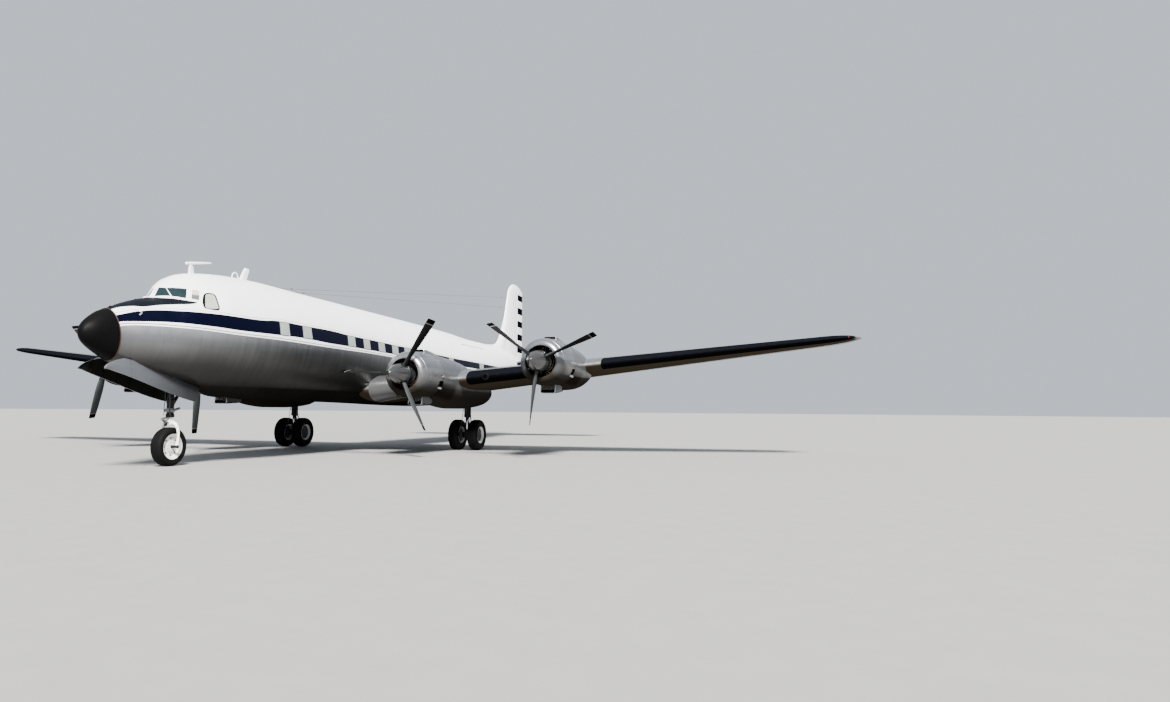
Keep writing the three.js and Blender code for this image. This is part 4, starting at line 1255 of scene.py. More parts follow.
@dataclass
class FlatPane:
    """A flat pane set into the hull, in a raised frame.

    Attributes:
        corners: its corners in order, as (x, station, z) to port.
        border: the width of its frame.
        corner: how round its corners are.
        depth: how far under the corners' plane the pane lies.
        trim: the frame's finish.
        lift: how far out of its corners' plane the pane stands.
        origin: the middle of its plane.
        axes: the plane's directions across, up and out.
    """

    corners: Sequence[Point]
    border: float = 0.028
    corner: float = 0.05
    depth: float = 0.010
    trim: Coat = Coat.WHITE
    lift: float = 0.03
    origin: Vector = field(init=False)
    axes: tuple[Vector, Vector, Vector] = field(init=False)

    def __post_init__(self) -> None:
        """Fits the pane's plane: its middle, and its axes across, up and out."""
        points = [Vector((x, along(s), z)) for x, s, z in self.corners]
        self.origin = sum(points, Vector()) / 4
        across = ((points[1] + points[2]) - (points[0] + points[3])).normalized()
        out = (points[2] - points[0]).cross(points[3] - points[1]).normalized()
        if out.dot(self.origin - Vector((0, self.origin.y + 0.8, 3.4))) < 0:
            out.negate()
        across = (across - out * across.dot(out)).normalized()
        self.axes = (across, out.cross(across), out)
        self.origin += out * self.lift

    def outline(self, grow: float) -> list[Pair]:
        """Its rounded outline in its plane, grown by a distance."""
        flat = []
        for x, s, z in self.corners:
            d = Vector((x, along(s), z)) - self.origin
            flat.append(Vector((d.dot(self.axes[0]), d.dot(self.axes[1]))))
        points = []
        for i, here in enumerate(flat):
            before, after = flat[i - 1], flat[(i + 1) % 4]
            a = here + (before - here).normalized() * self.corner
            b = here + (after - here).normalized() * self.corner
            for t in spread(0.0, 1.0, 6):
                points.append(a * (1 - t) ** 2 + here * (2 * t * (1 - t)) + b * t**2)
        out = []
        for i, here in enumerate(points):
            run = (points[(i + 1) % len(points)] - points[i - 1]).normalized()
            side = Vector((run.y, -run.x))
            if side.dot(here) < 0:
                side.negate()
            out.append(tuple(here + side * grow))
        return out

    def ring(self, grow: float, out: float) -> Ring:
        """A ring parallel to its outline, some way out of its plane."""
        across, up, off = self.axes
        return [tuple(self.origin + across * u + up * v + off * out) for u, v in self.outline(grow)]

    def pocket(self, name: str) -> Piece:
        """The tool that clears the hull in front of the pane."""
        return Bench.loft(name, [self.ring(0.0, -0.07), self.ring(0.0, 0.45)])

    def build(self, name: str, glass: Dressing) -> Piece:
        """Builds the frame and the pane."""
        trim = Bench.loft(
            name,
            [
                self.ring(self.border + 0.02, -0.09), self.ring(self.border, 0.0),
                self.ring(self.border - 0.006, 0.006), self.ring(0.0, 0.006),
                self.ring(-0.003, -self.depth), self.ring(-0.003, -0.08)
            ],
            (False, False), 35.0
        )
        Bench.dress(trim, self.trim, glass)
        pane = Bench.loft(f"{name}_pane", [self.ring(0.0, -0.07), self.ring(0.0, -self.depth)])
        Bench.dress(pane, self.trim, glass)
        Bench.paint(pane, 1)
        return Bench.join(name, [trim, pane])


@dataclass
class DoorWay:
    """A door in the hull's side and the hold behind it.

    Attributes:
        name: the door's name, which is also its body's and its node's.
        sign: 1 to port, -1 to starboard.
        span: its front and rear stations.
        rise: its sill and head.
        depth: the thickness of its leaf.
        inner: how far across the hold reaches.
        hinge: the distance out of the hinge line at its front and rear.
        gap: the gap around the leaf.
        jamb: how far the hold's walls stand in from the leaf's edges.
        relief: how tall the clearance behind the leaf's head is.
        rail: the height of the leaf's rails.
        rib: the width of its ribs.
    """

    name: str
    sign: int
    span: Pair
    rise: Pair
    depth: float
    inner: float
    hinge: Pair
    gap: float = 0.008
    jamb: float = 0.06
    relief: float = 0.16
    rail: float = 0.07
    rib: float = 0.05

    def tools(self) -> list[Piece]:
        """The pocket for the leaf, the hold behind it and the relief at its head."""
        (fore, aft), (sill, head) = self.span, self.rise
        pocket = HULL.patch(
            f"{self.name}_pocket", spread(fore, aft, 12), spread(sill, head, 14), -self.depth - self.gap,
            0.15, self.sign
        )
        near, far = sorted((self.sign * 2.0, self.sign * self.inner))
        hold = Bench.block(
            f"{self.name}_hold", (near, along(fore + self.jamb), sill + self.jamb),
            (far, along(aft - self.jamb), head)
        )
        near, far = sorted((self.sign * 2.0, self.sign * 0.3))
        relief = Bench.block(
            f"{self.name}_relief", (near, along(fore), head - self.relief), (far, along(aft), head)
        )
        return [pocket, hold, relief]

    def build(self) -> Piece:
        """Builds the leaf with its inner frame, its hinge and its handle."""
        (fore, aft), (sill, head) = self.span, self.rise
        gap = self.gap
        top = head - 2 * gap
        stations, heights = spread(fore + gap, aft - gap, 14), spread(sill + gap, top, 16)
        parts = [HULL.patch(f"{self.name}_skin", stations, heights, -0.022, 0.0, self.sign)]
        rails = [(sill + gap, sill + gap + self.rail), (top - self.rail, top)]
        for k, (low, high) in enumerate(rails):
            parts.append(
                HULL.patch(f"{self.name}_rail_{k}", stations, (low, high), -self.depth, -0.02, self.sign)
            )
        count = max(3, round((aft - fore) / 0.5))
        for k, s in enumerate(spread(fore + gap, aft - gap - self.rib, count)):
            rib = HULL.patch(
                f"{self.name}_rib_{k}", (s, s + self.rib), heights[::3], -self.depth, -0.02, self.sign
            )
            parts.append(rib)
        mid = (fore + aft) / 2
        handle = HULL.side(mid, sill + 0.16, 0.010, self.sign)
        away = HULL.side(mid + 0.16, sill + 0.16, 0.010, self.sign)
        parts.append(Bench.rod(f"{self.name}_handle", handle, away, 0.012, sides=12))
        ends = [
            (self.sign * self.hinge[0], along(fore + gap), head),
            (self.sign * self.hinge[1], along(aft - gap), head)
        ]
        parts.append(Bench.rod(f"{self.name}_hinge", ends[0], ends[1], 0.011, sides=12))
        for part in parts:
            Bench.dress(part, SKIN, Coat.LINING, Coat.DULL)
        for part in parts[1:-2]:
            Bench.paint(part, 1)
        for part in parts[-2:]:
            Bench.paint(part, 2)
        return Bench.join(f"{self.name}_leaf", parts)


DOORWAYS = (
    DoorWay("cargo_door", 1, (18.9, 21.9), (2.8, 4.42), 0.07, -0.95, (1.2018, 1.0438)),
    DoorWay("hold_door_front", -1, (6.0, 7.1), (2.08, 2.75), 0.06, 0.10, (1.4097, 1.4284)),
    DoorWay("hold_door_rear", -1, (17.4, 18.5), (2.08, 2.75), 0.06, 0.10, (1.462, 1.4489)),
)


@dataclass
class Fuselage:
    """The hull with its radome, flight deck, doors, windows and aerials.

    Attributes:
        sides: how many sides its rings have.
        rim: the station of the radome's rim.
        lean: how much further aft the rim is at the keel than halfway up.
        well: the low and high corners of the nose wheel's well.
        cabin: the low and high corners of the rear cabin.
        split: the station that parts the well's paint from the cabin's lining.
    """

    sides: int = 96
    rim: float = 0.745
    lean: float = 0.065
    well: tuple[Point, Point] = ((-0.345, along(1.12), 1.5), (0.345, along(3.6), 3.05))
    cabin: tuple[Point, Point] = ((-0.85, along(15.5), 2.86), (0.85, along(23.4), 4.36))
    split: float = 3.7

    def ring(self, station: float, curve: float, out: float = 0.0) -> Ring:
        """A ring of the skin, with a share of the rim's curve in it."""
        lean = curve * self.lean
        return [HULL.point(max(0.0, station - lean * math.cos(t)), t, out) for t in turns(self.sides, 0.5)]

    def build(self) -> None:
        """Builds all of it."""
        self.radome()
        self.skin()
        self.windows()
        self.flight_deck()
        self.aerials()
        self.fittings()

    def radome(self) -> None:
        """The black nose cone and the thin rim behind it."""
        shares = [k / 22 for k in range(23)]
        rings = [self.ring((self.rim - 0.004) * share**2 + 1e-5, share**2) for share in shares]
        cone = Bench.loft("radome_cone", rings)
        Bench.dress(cone, Coat.RADOME)
        Bench.deliver(cone, "airframe", "radome_black", "radome")
        places = (
            (-0.006, -0.01), (-0.006, 0.004), (0.0, 0.007), (0.012, 0.007), (0.018, 0.004), (0.018, -0.01)
        )
        band = Bench.loft(
            "radome_rim", [self.ring(self.rim + s, 1.0, out) for s, out in places], (False, False)
        )
        Bench.dress(band, Coat.RIM_RED)
        Bench.deliver(band, "airframe", "radome_black")

    def skin(self) -> None:
        """The hull's skin, cut by the well, the cabin, the doorways and the flight deck's panes."""
        stations = [
            0.85, 0.95, 1.08, 1.2, 1.4, 1.55, 1.7, 1.85, 2.0, 2.1, 2.2, 2.3, 2.45, 2.6, 2.8, 3.0, 3.2, 3.44,
            3.7, 4.0, 4.4, 4.8, 5.3, 5.8, 6.4, 7.0, 8.0, 9.0, 10.0, 11.5, 13.0, 14.5, 16.0, 17.0, 18.0,
            18.9, 19.6, 20.4, 21.2, 21.9, 22.6, 23.3, 24.0, 24.8, 25.6, 26.5, 27.3, 28.0, 28.5, 29.1, 29.7,
            30.3, 31.0, 31.5, 31.9, 32.08, 32.16, 32.18
        ]
        rings = [self.ring(self.rim + 0.004, 1.0)]
        rings += [self.ring(s, max(0.0, 1.0 - (s - self.rim) / 0.45)) for s in stations]
        hull = Bench.loft("hull", rings)
        tools = [Bench.block("well", *self.well), Bench.block("cabin", *self.cabin)]
        for door in DOORWAYS:
            tools += door.tools()
        for k, pane in enumerate(FLIGHT_DECK.values()):
            tool = pane.pocket(f"pocket_{k}")
            tools += [tool, Bench.mirrored(tool, f"pocket_{k}_starboard")]
        for tool in tools:
            Bench.carve(hull, tool)
        Bench.tidy(hull)
        Bench.dress(hull, SKIN, Coat.WELL, Coat.LINING)
        # The nose well's inside takes the dark well finish, a painted shade.
        Bench.paint(hull, 1, lambda c, n: self.buried(c) and c.y < along(self.split))
        Bench.paint(hull, 2, lambda c, n: self.buried(c) and c.y >= along(self.split))
        Bench.deliver(hull, "airframe", "hull_skin", "fuselage")
        for door in DOORWAYS:
            leaf = door.build()
            Bench.deliver(leaf, door.name, "hull_skin", door.name)

    @staticmethod
    def buried(spot: Vector) -> bool:
        """Whether a spot lies well inside the skin."""
        wide, half, middle = HULL.extent(max(0.0, spot.y - NOSE_Y))
        wide *= HULL.squeeze(max(0.0, spot.y - NOSE_Y), spot.z)
        reach = math.hypot(spot.x / max(wide, 0.02), (spot.z - middle) / max(half, 0.02))
        return reach < 0.975 and spot.z < 4.45 and wide > 0.45

    def windows(self) -> None:
        """The cabin windows on both sides, and the one in the cargo door."""
        for k, (fore, aft) in enumerate(CABIN_SPANS):
            for side, sign in (("port", 1), ("starboard", -1)):
                pane = CabinWindow(fore, aft, sign).build(f"cabin_window_{side}_{k + 1}")
                Bench.deliver(pane, "airframe", "glazing")
        pane = CabinWindow(*CARGO_WINDOW).build("cargo_door_window")
        Bench.deliver(pane, "cargo_door", "glazing")
        pane = CabinWindow(*CARGO_WINDOW, -1).build("cabin_window_starboard_12")
        Bench.deliver(pane, "airframe", "glazing")

    def flight_deck(self) -> None:
        """The windshield, the side panes and the wipers."""
        glasses = {"windshield": COCKPIT_GLASS, "side_pane": COCKPIT_HALF, "side_window": COCKPIT_CURTAIN}
        for name, pane in FLIGHT_DECK.items():
            port = pane.build(f"{name}_port", glasses[name])
            starboard = Bench.mirrored(port, f"{name}_starboard")
            nodes = ("cockpit_glazing",) if name == "windshield" else ()
            Bench.deliver(port, "airframe", "glazing", *nodes)
            Bench.deliver(starboard, "airframe", "glazing")
        post = Bench.pipe(
            "windshield_post", [(0, along(2.075), 4.315), (0, along(2.14), 4.45), (0, along(2.24), 4.60)],
            0.022
        )
        wiper = FLIGHT_DECK["windshield"]
        spots = [
            wiper.origin + wiper.axes[0] * u + wiper.axes[1] * v + wiper.axes[2] * 0.03
            for u, v in ((0.03, -0.17), (-0.12, 0.11))
        ]
        arm = Bench.rod("wiper_arm", spots[0], spots[1], 0.014, 0.010, 10)
        lift = wiper.axes[2] * -0.018
        rubber = [
            spots[0].lerp(spots[1], 0.45) + lift,
            spots[1] + (spots[1] - spots[0]).normalized() * 0.05 + lift
        ]
        blade = Bench.rod("wiper_blade", rubber[0], rubber[1], 0.008, sides=10)
        twins = [Bench.mirrored(arm, "wiper_arm_s"), Bench.mirrored(blade, "wiper_blade_s")]
        trim = Bench.join("windshield_trim", [post, arm, blade, *twins])
        Bench.dress(trim, Coat.WHITE, Coat.CABLE)
        Bench.deliver(trim, "airframe", "white_skin")

    def aerials(self) -> None:
        """The mast with its bar, the raked blade, the hook loop and the two long wires."""
        mast = Bench.loft(
            "mast",
            [
                self.strut_ring(*row)
                for row in (
                    (5.04, 3.32, 0.29, 0.14), (5.10, 3.345, 0.25, 0.115), (5.16, 3.36, 0.215, 0.10),
                    (5.30, 3.37, 0.17, 0.085), (5.42, 3.38, 0.125, 0.07)
                )
            ]
        )
        bar = Bench.pipe(
            "mast_bar",
            [
                (0, along(3.235), 5.401), (0, along(3.26), 5.405), (0, along(3.40), 5.43),
                (0, along(3.8), 5.50), (0, along(4.2), 5.568), (0, along(4.227), 5.573)
            ],
            (0.014, 0.034, 0.036, 0.031, 0.022, 0.010), 20
        )
        head = Bench.join("mast_and_bar", [mast, bar])
        Bench.dress(head, Coat.WHITE)
        Bench.deliver(head, "airframe", "white_skin", "mast_aerial")
        fin = Bench.loft(
            "blade",
            [
                self.strut_ring(*row)
                for row in (
                    (5.22, 5.36, 0.42, 0.15), (5.27, 5.40, 0.36, 0.12), (5.32, 5.44, 0.315, 0.11),
                    (5.46, 5.52, 0.285, 0.10), (5.60, 5.60, 0.255, 0.09), (5.65, 5.632, 0.222, 0.07),
                    (5.672, 5.66, 0.175, 0.03)
                )
            ]
        )
        Bench.dress(fin, Coat.WHITE)
        Bench.deliver(fin, "airframe", "white_skin", "blade_aerial")
        arch = [(math.cos(t), math.sin(t)) for t in spread(0.0, math.pi, 14)]
        path = [(0, along(5.24 - 0.13 * across), 5.285 + 0.185 * up**0.8) for across, up in arch]
        loop = Bench.pipe("hook_loop", path, 0.017, 12)
        Bench.dress(loop, Coat.WHITE)
        Bench.deliver(loop, "airframe", "white_skin")
        ends = (((0.0, 7.1, 5.27), (0.0, 27.92, 7.744)), ((0.0, 7.8, 5.255), (0.0, 27.73, 7.160)))
        for k, (start, end) in enumerate(ends):
            path = []
            for t in spread(0.0, 1.0, 24):
                x, s, z = (mix(a, b, t) for a, b in zip(start, end))
                path.append((x, along(s), z))
            wire = Bench.pipe(f"aerial_wire_{k + 1}", path, 0.005, 6)
            cups = [Bench.turned(f"insulator_{k}", [
                (-0.05, 0.004), (-0.05, 0.012), (-0.02, 0.02), (0.02, 0.02), (0.05, 0.012), (0.05, 0.004)
            ], "Y", path[i], 12) for i in (1, 22)]
            x, y, z = path[0]
            cups.append(Bench.rod(f"wire_post_{k}", (x, y, z - 0.08), (x, y, z + 0.02), 0.02, 0.011, 12))
            wire = Bench.join(f"aerial_wire_{k + 1}", [wire, *cups])
            Bench.dress(wire, Coat.CABLE)
            Bench.deliver(wire, "airframe", "white_skin")

    @staticmethod
    def strut_ring(z: float, station: float, chord: float, thick: float) -> Ring:
        """A streamlined section at a height."""
        out = []
        for turn in turns(24):
            aft = (1 - math.cos(turn)) / 2
            half = 2.6 * (math.sqrt(aft) - aft) * thick / 2 + 0.004 * (aft > 0.9)
            out.append((half if turn < math.pi else -half, along(station + aft * chord), z))
        return out

    def fittings(self) -> None:
        """The probes, the small blade and fitting on the nose, and the lamp at the tail."""
        probe = Bench.pipe("probe", [
            HULL.side(1.235, 3.768, -0.02), HULL.side(1.235, 3.768, 0.07), HULL.side(1.21, 3.768, 0.10),
            HULL.side(1.12, 3.768, 0.13), HULL.side(1.02, 3.768, 0.16),
        ], (0.016, 0.013, 0.012, 0.010, 0.007), 14)
        probes = Bench.join("probes", [probe, Bench.mirrored(probe, "probe_starboard")])
        Bench.dress(probes, Coat.WHITE)
        Bench.deliver(probes, "airframe", "white_skin")
        stub = Bench.loft(
            "nose_blade",
            [
                self.strut_ring(*row)
                for row in (
                    (4.05, 1.50, 0.16, 0.05), (4.13, 1.51, 0.14, 0.035), (4.20, 1.55, 0.10, 0.025),
                    (4.215, 1.57, 0.06, 0.012)
                )
            ]
        )
        fitting = Bench.block("nose_fitting", (-0.03, along(0.80), 3.88), (0.03, along(0.93), 3.95), 0.012)
        black = Bench.join("nose_aerials", [stub, fitting])
        Bench.dress(black, Coat.RADOME)
        Bench.deliver(black, "airframe", "radome_black")
        rod = Bench.pipe(
            "tail_lamp", [(0, along(32.10), 3.86), (0, along(32.15), 3.86), (0, along(32.178), 3.86)],
            (0.05, 0.046, 0.02), 20
        )
        Bench.dress(rod, Coat.LENS)
        Bench.deliver(rod, "airframe", "glazing")


COCKPIT_HALF = CurtainGlass("side_pane_curtain", (0.42, 0.39, 0.28), 0.05, 4.46)
FLIGHT_DECK = {
    "windshield": FlatPane(
        ((0.06, 2.118, 4.318), (0.636, 2.585, 4.325), (0.560, 2.683, 4.600), (0.05, 2.270, 4.592)), 0.02,
        0.02, 0.004, Coat.WHITE, 0.02
    ),
    "side_pane": FlatPane(
        ((0.696, 2.695, 4.332), (0.826, 2.827, 4.306), (0.766, 2.902, 4.564), (0.642, 2.776, 4.591)), 0.02,
        0.02, 0.004, Coat.WHITE, 0.02
    ),
    "side_window": FlatPane(
        ((1.052, 2.790, 4.090), (1.184, 3.152, 4.100), (0.988, 3.203, 4.515), (0.865, 2.983, 4.504)), 0.03,
        0.09, 0.006, Coat.RUBBER, 0.02
    )
}


class Aerofoil:
    """Sections of wings and tails, the upper side first from the trailing edge."""

    @staticmethod
    def half(t: float) -> float:
        """Half the thickness at a share of the chord, for a thickness and chord of one."""
        return 5 * (0.2969 * math.sqrt(t) - 0.126 * t - 0.3516 * t**2 + 0.2843 * t**3 - 0.1036 * t**4)

    @staticmethod
    def section(
        chord: float, thickness: float, camber: float = 0.0, drop: float = 0.0, count: int = 22
    ) -> list[Pair]:
        """A section as (aft, up) from its leading edge.

        Args:
            chord: its chord.
            thickness: its greatest thickness as a share of the chord.
            camber: how far its middle line arches, as a share of the chord.
            drop: how far it falls towards the tail, as a share of the chord.
            count: how many points there are on each side.

        Returns:
            The points in order.
        """
        shares = [(1 - math.cos(math.pi * k / count)) / 2 for k in range(count + 1)]
        upper, lower = [], []
        for t in reversed(shares):
            middle = camber * chord * 4 * t * (1 - t) - drop * chord * t
            half = max(Aerofoil.half(t) * thickness * chord, 0.009 if t > 0 else 0.0)
            upper.append((t * chord, middle + half))
            if t > 0:
                lower.append((t * chord, middle - half))
        return upper + lower[::-1]


@dataclass(frozen=True)
class HingeLine:
    """A control surface's hinge, with its outline at both ends.

    Attributes:
        start: the hinge line's inner end.
        end: its outer end.
        nose: the radius of the surface's round nose at each end.
        chord: how far it reaches aft at each end.
        drop: how far its tail is below the hinge at each end.
        run: the gap at each end, which a pin bridges.
        tail: half the thickness of its tail.
    """

    start: Vector
    end: Vector
    nose: Pair
    chord: Pair
    drop: Pair = (0.0, 0.0)
    run: float = 0.014
    tail: float = 0.007

    def axes(self) -> tuple[Vector, Vector, Vector]:
        """Along the hinge, aft, and square to both."""
        u = (self.end - self.start).normalized()
        v = (Vector((0, 1, 0)) - u * u.y).normalized()
        return u, v, u.cross(v)

    def surface(self, name: str, steps: int = 9) -> Piece:
        """The control surface: a round nose, flat sides and a rounded tail, and the pins at its ends."""
        u, v, w = self.axes()
        rings = []
        for t in spread(0.0, 1.0, steps):
            nose, chord, drop = (mix(*pair, t) for pair in (self.nose, self.chord, self.drop))
            arc = [math.radians(90 + 180 * k / 12) for k in range(13)]
            outline = [
                (mix(0.0, chord, k / 6), mix(nose, self.tail - drop, k / 6)) for k in range(6, 0, -1)
            ]
            outline += [(nose * math.cos(a), nose * math.sin(a)) for a in arc]
            outline += [(mix(0.0, chord, k / 6), mix(-nose, -self.tail - drop, k / 6)) for k in range(1, 7)]
            at = self.start.lerp(self.end, t)
            rings.append([tuple(at + v * a + w * b) for a, b in outline])
        body = Bench.loft(name, rings)
        reach = u * (self.run - 0.001)
        pin = Bench.rod(f"{name}_pin", self.start - reach, self.end + reach, 0.026)
        return Bench.join(name, [body, pin])

    def gap(self, name: str, aft: float, tall: float) -> Piece:
        """The tool that clears the space it moves in."""
        u, v, w = self.axes()
        length = (self.end - self.start).length
        ahead = max(self.nose) + 0.006 + self.run
        tool = Bench.block(name, (-self.run, -ahead, -tall / 2), (length + self.run, aft, tall / 2))
        turn = Matrix((u, v, w)).transposed().to_4x4()
        tool.data.transform(Matrix.Translation(self.start) @ turn)
        return tool


@dataclass
class Wing:
    """One wing with its flap and aileron, built to port and mirrored.

    Attributes:
        root: station, height and chord in the middle of the aeroplane.
        tip_chord: chord at the tip.
        sweep: how far the leading edge moves aft a metre out.
        dihedral: how far it rises a metre out.
        thickness: thickness at the middle and at the tip.
        incidence: how far it falls towards the tail.
        tip_start: where the tip begins to round off.
        forward: how much of the tip's round is at its leading edge.
        least_chord: the chord at the very tip.
        camber: how far the section arches, as a share of the chord.
        flap: the flap's inner and outer ends and its hinge's share of the chord.
        aileron: the aileron's.
        intake: the distance out of the small intake.
        lamp: the distance out of the lamp.
    """

    root: tuple[float, float, float] = (10.58, 2.09, 5.75)
    tip_chord: float = 1.84
    sweep: float = 0.146
    dihedral: float = 0.1095
    thickness: Pair = (0.16, 0.12)
    incidence: float = 0.045
    tip_start: float = 16.75
    forward: float = 0.42
    least_chord: float = 0.12
    camber: float = 0.018
    flap: Point = (1.98, 10.35, 0.775)
    aileron: Point = (10.48, 16.7, 0.76)
    intake: float = 5.42
    lamp: float = 17.45

    def at(self, x: float) -> tuple[float, float, float, float]:
        """The leading edge's station and height, the chord and the thickness at a distance out."""
        t = x / HALF_SPAN
        return (
            self.root[0] + self.sweep * x, self.root[1] + self.dihedral * x,
            mix(self.root[2], self.tip_chord, t), mix(*self.thickness, t),
        )

    def ring(self, x: float) -> Ring:
        """The section at a distance out."""
        lead0, z0, chord0, thick = self.at(x)
        reach = min(1.0, max(0.0, (x - self.tip_start) / (HALF_SPAN - self.tip_start)))
        chord = max(self.least_chord, chord0 * math.sqrt(1 - reach**2))
        lead = lead0 + (chord0 - chord) * self.forward
        z = z0 - self.incidence * (lead - lead0)
        return [
            (x, along(lead + aft), z + up)
            for aft, up in Aerofoil.section(chord, thick, self.camber, self.incidence)
        ]

    def hinge(self, inner: float, outer: float, share: float) -> HingeLine:
        """The hinge of a surface between two distances out, at a share of the chord."""
        points, noses, chords, drops = [], [], [], []
        for x in (inner, outer):
            lead, z, chord, thick = self.at(x)
            half = Aerofoil.half(share) * thick * chord
            up = z + self.camber * chord * 4 * share * (1 - share) - self.incidence * chord * share
            points.append(Vector((x, along(lead + share * chord), up)))
            noses.append(half - 0.006)
            chords.append(chord * (1 - share) - 0.025)
            drops.append(up - (z - self.incidence * chord))
        return HingeLine(points[0], points[1], tuple(noses), tuple(chords), tuple(drops))

    def build(self) -> None:
        """Builds the wings, flaps and ailerons."""
        outs = [
            0.9, 1.6, 2.2, 3.0, 4.5, 6.0, 8.0, 10.0, 12.0, 14.0, 15.5, 16.75, 17.0, 17.25, 17.45, 17.6,
            17.72, 17.82, 17.88, HALF_SPAN
        ]
        body = Bench.loft("wing_port_skin", [self.ring(x) for x in outs])
        moving = {"flap": self.hinge(*self.flap), "aileron": self.hinge(*self.aileron)}
        for name, line in moving.items():
            Bench.carve(body, line.gap(f"{name}_gap", 2.2, 1.6))
        Bench.tidy(body)
        paint = WingPaint("wing_metal", (0.24, 0.245, 0.255), 0.34)
        Bench.dress(body, paint)
        Bench.deliver_pair(body, "airframe", "bare_metal", "wing_port")
        sheet = WingPaint("surface_metal", (0.22, 0.225, 0.235), 0.4, 0.8, (0.5, 2.0), reach=-1.0)
        for name, line in moving.items():
            piece = line.surface(f"{name}_port_skin")
            Bench.dress(piece, sheet)
            Bench.deliver_pair(piece, f"{name}_port", "bare_metal", f"{name}_port")
        self.root_fairing()
        self.lamps()

    def root_fairing(self) -> None:
        """The bright fillet where the wing's leading edge meets the hull."""
        rings = []
        for t in spread(0.0, 1.0, 9):
            x = mix(1.30, 2.15, t)
            swell = 0.02 * (1 - t) ** 2
            lead, z, chord, thick = self.at(x)
            section = Aerofoil.section(
                chord * 0.5, thick * 2 + swell * 0.9, self.camber, self.incidence, 16
            )
            rings.append(
                [(x, along(lead - swell * 1.1 + aft * 0.9), z + up * (1.02 + swell)) for aft, up in section]
            )
        fillet = Bench.loft("wing_fillet_port", rings)
        Bench.dress(fillet, Coat.DULL)
        Bench.deliver_pair(fillet, "airframe", "bare_metal")

    def lamps(self) -> None:
        """The dark intake in each leading edge and the lamps at the tips."""
        lead, z, _, _ = self.at(self.intake)
        intake = Bench.turned("wing_intake_port", [
            (-0.02, 0.0), (-0.02, 0.085), (-0.012, 0.115), (0.0, 0.125), (0.03, 0.125), (0.03, 0.0)
        ], "Y", (self.intake, along(lead) - 0.005, z - 0.02), 32)
        Bench.dress(intake, Coat.SOOT, Coat.SPACE)
        # The intake's middle is painted deep shade.
        Bench.paint(intake, 1, lambda c, n: math.hypot(c.x - self.intake, c.z - z + 0.02) < 0.09)
        Bench.deliver_pair(intake, "airframe", "bare_metal")
        lead, z, _, _ = self.at(self.lamp)
        for side, sign, coat in (("port", 1, Coat.RED_LENS), ("starboard", -1, Coat.LENS)):
            lamp = Bench.turned(f"tip_lamp_{side}", [
                (-0.09, 0.0), (-0.085, 0.02), (-0.06, 0.036), (-0.02, 0.045), (0.10, 0.045), (0.10, 0.0)
            ], "Y", (sign * self.lamp, along(lead) + 0.26, z), 24)
            Bench.dress(lamp, coat)
            Bench.deliver(lamp, "airframe", "glazing")


# The scoops fall away to their sides, as the cowling does, by the square of the distance over this.
COWL_ROUND = 1.7
# Half of what a cowl flap spans, and where the flaps and the small fairings are, in degrees from the top.
FLAP_HALF = 11.4
FLAP_TURNS = (30, 54, 78, 102, 258, 282, 306, 330, 148, 212)
BLISTER_TURNS = (-24, 24, 52, -52)


@dataclass(frozen=True)
class Duct:
    """An air scoop on a cowling.

    Attributes:
        mouth: how far aft of the cowling's lip its mouth is.
        half: half its width.
        high: how far it stands out from the thrust line.
        up: 1 on top, -1 underneath.
        opening: how tall its opening is.
        end: how far it stands out where the cowling ends.
    """

    mouth: float
    half: float
    high: float
    up: int
    opening: float
    end: float

    def ring(self, lip: float, aft: float, wide: float, low: float, high: float, corner: float) -> Ring:
        """A rounded section that follows the cowling's round."""
        middle = (low + high) / 2
        return [
            (u, lip + aft, self.up * (middle + v - u * u / COWL_ROUND))
            for u, v in rounded(2 * wide, high - low, corner, 6)
        ]

    def build(self, name: str, lip: float) -> Piece:
        """Builds the duct: a dark throat, a round lip and a back that fairs into the cowling."""
        m, w, h = self.mouth, self.half, self.high
        floor = h - self.opening
        return Bench.loft(
            name,
            [
                self.ring(lip, *row)
                for row in (
                    (m + 0.34, w - 0.05, floor + 0.008, h - 0.034, 0.014),
                    (m + 0.05, w - 0.030, floor + 0.004, h - 0.022, 0.02),
                    (m + 0.012, w - 0.024, floor - 0.002, h - 0.016, 0.026),
                    (m, w - 0.014, floor - 0.010, h - 0.009, 0.032),
                    (m + 0.006, w - 0.004, floor - 0.018, h - 0.002, 0.038), (m + 0.03, w, 0.66, h, 0.05),
                    (m + 0.16, w + 0.003, 0.66, h + 0.002, 0.06),
                    (m + 0.30, w, 0.66, mix(h, self.end, 0.4), 0.07),
                    (1.45, w - 0.010, 0.66, self.end, 0.07),
                    (1.65, w - 0.022, 0.65, self.end - 0.022, 0.07),
                    (1.85, w - 0.040, 0.64, self.end - 0.05, 0.06),
                    (2.10, w - 0.072, 0.62, mix(self.end - 0.05, 0.745, 0.5), 0.05),
                    (2.35, w - 0.110, 0.60, 0.735, 0.04), (2.50, w - 0.15, 0.58, 0.66, 0.02)
                )
            ]
        )

    def shade(self, obj: Piece, lip: float, bright: int, dark: int) -> None:
        """Gives its lip bright metal and paints its throat in deep shade."""
        m, w, h = self.mouth + lip, self.half, self.high
        Bench.paint(obj, bright, lambda c, n: c.y < m + 0.03)

        def throat(c: Vector, _: Vector) -> bool:
            height = self.up * c.z + c.x**2 / COWL_ROUND
            inside = m + 0.014 < c.y < m + 0.345 and abs(c.x) < w - 0.012
            return inside and h - self.opening - 0.01 < height < h - 0.012

        Bench.paint(obj, dark, throat)


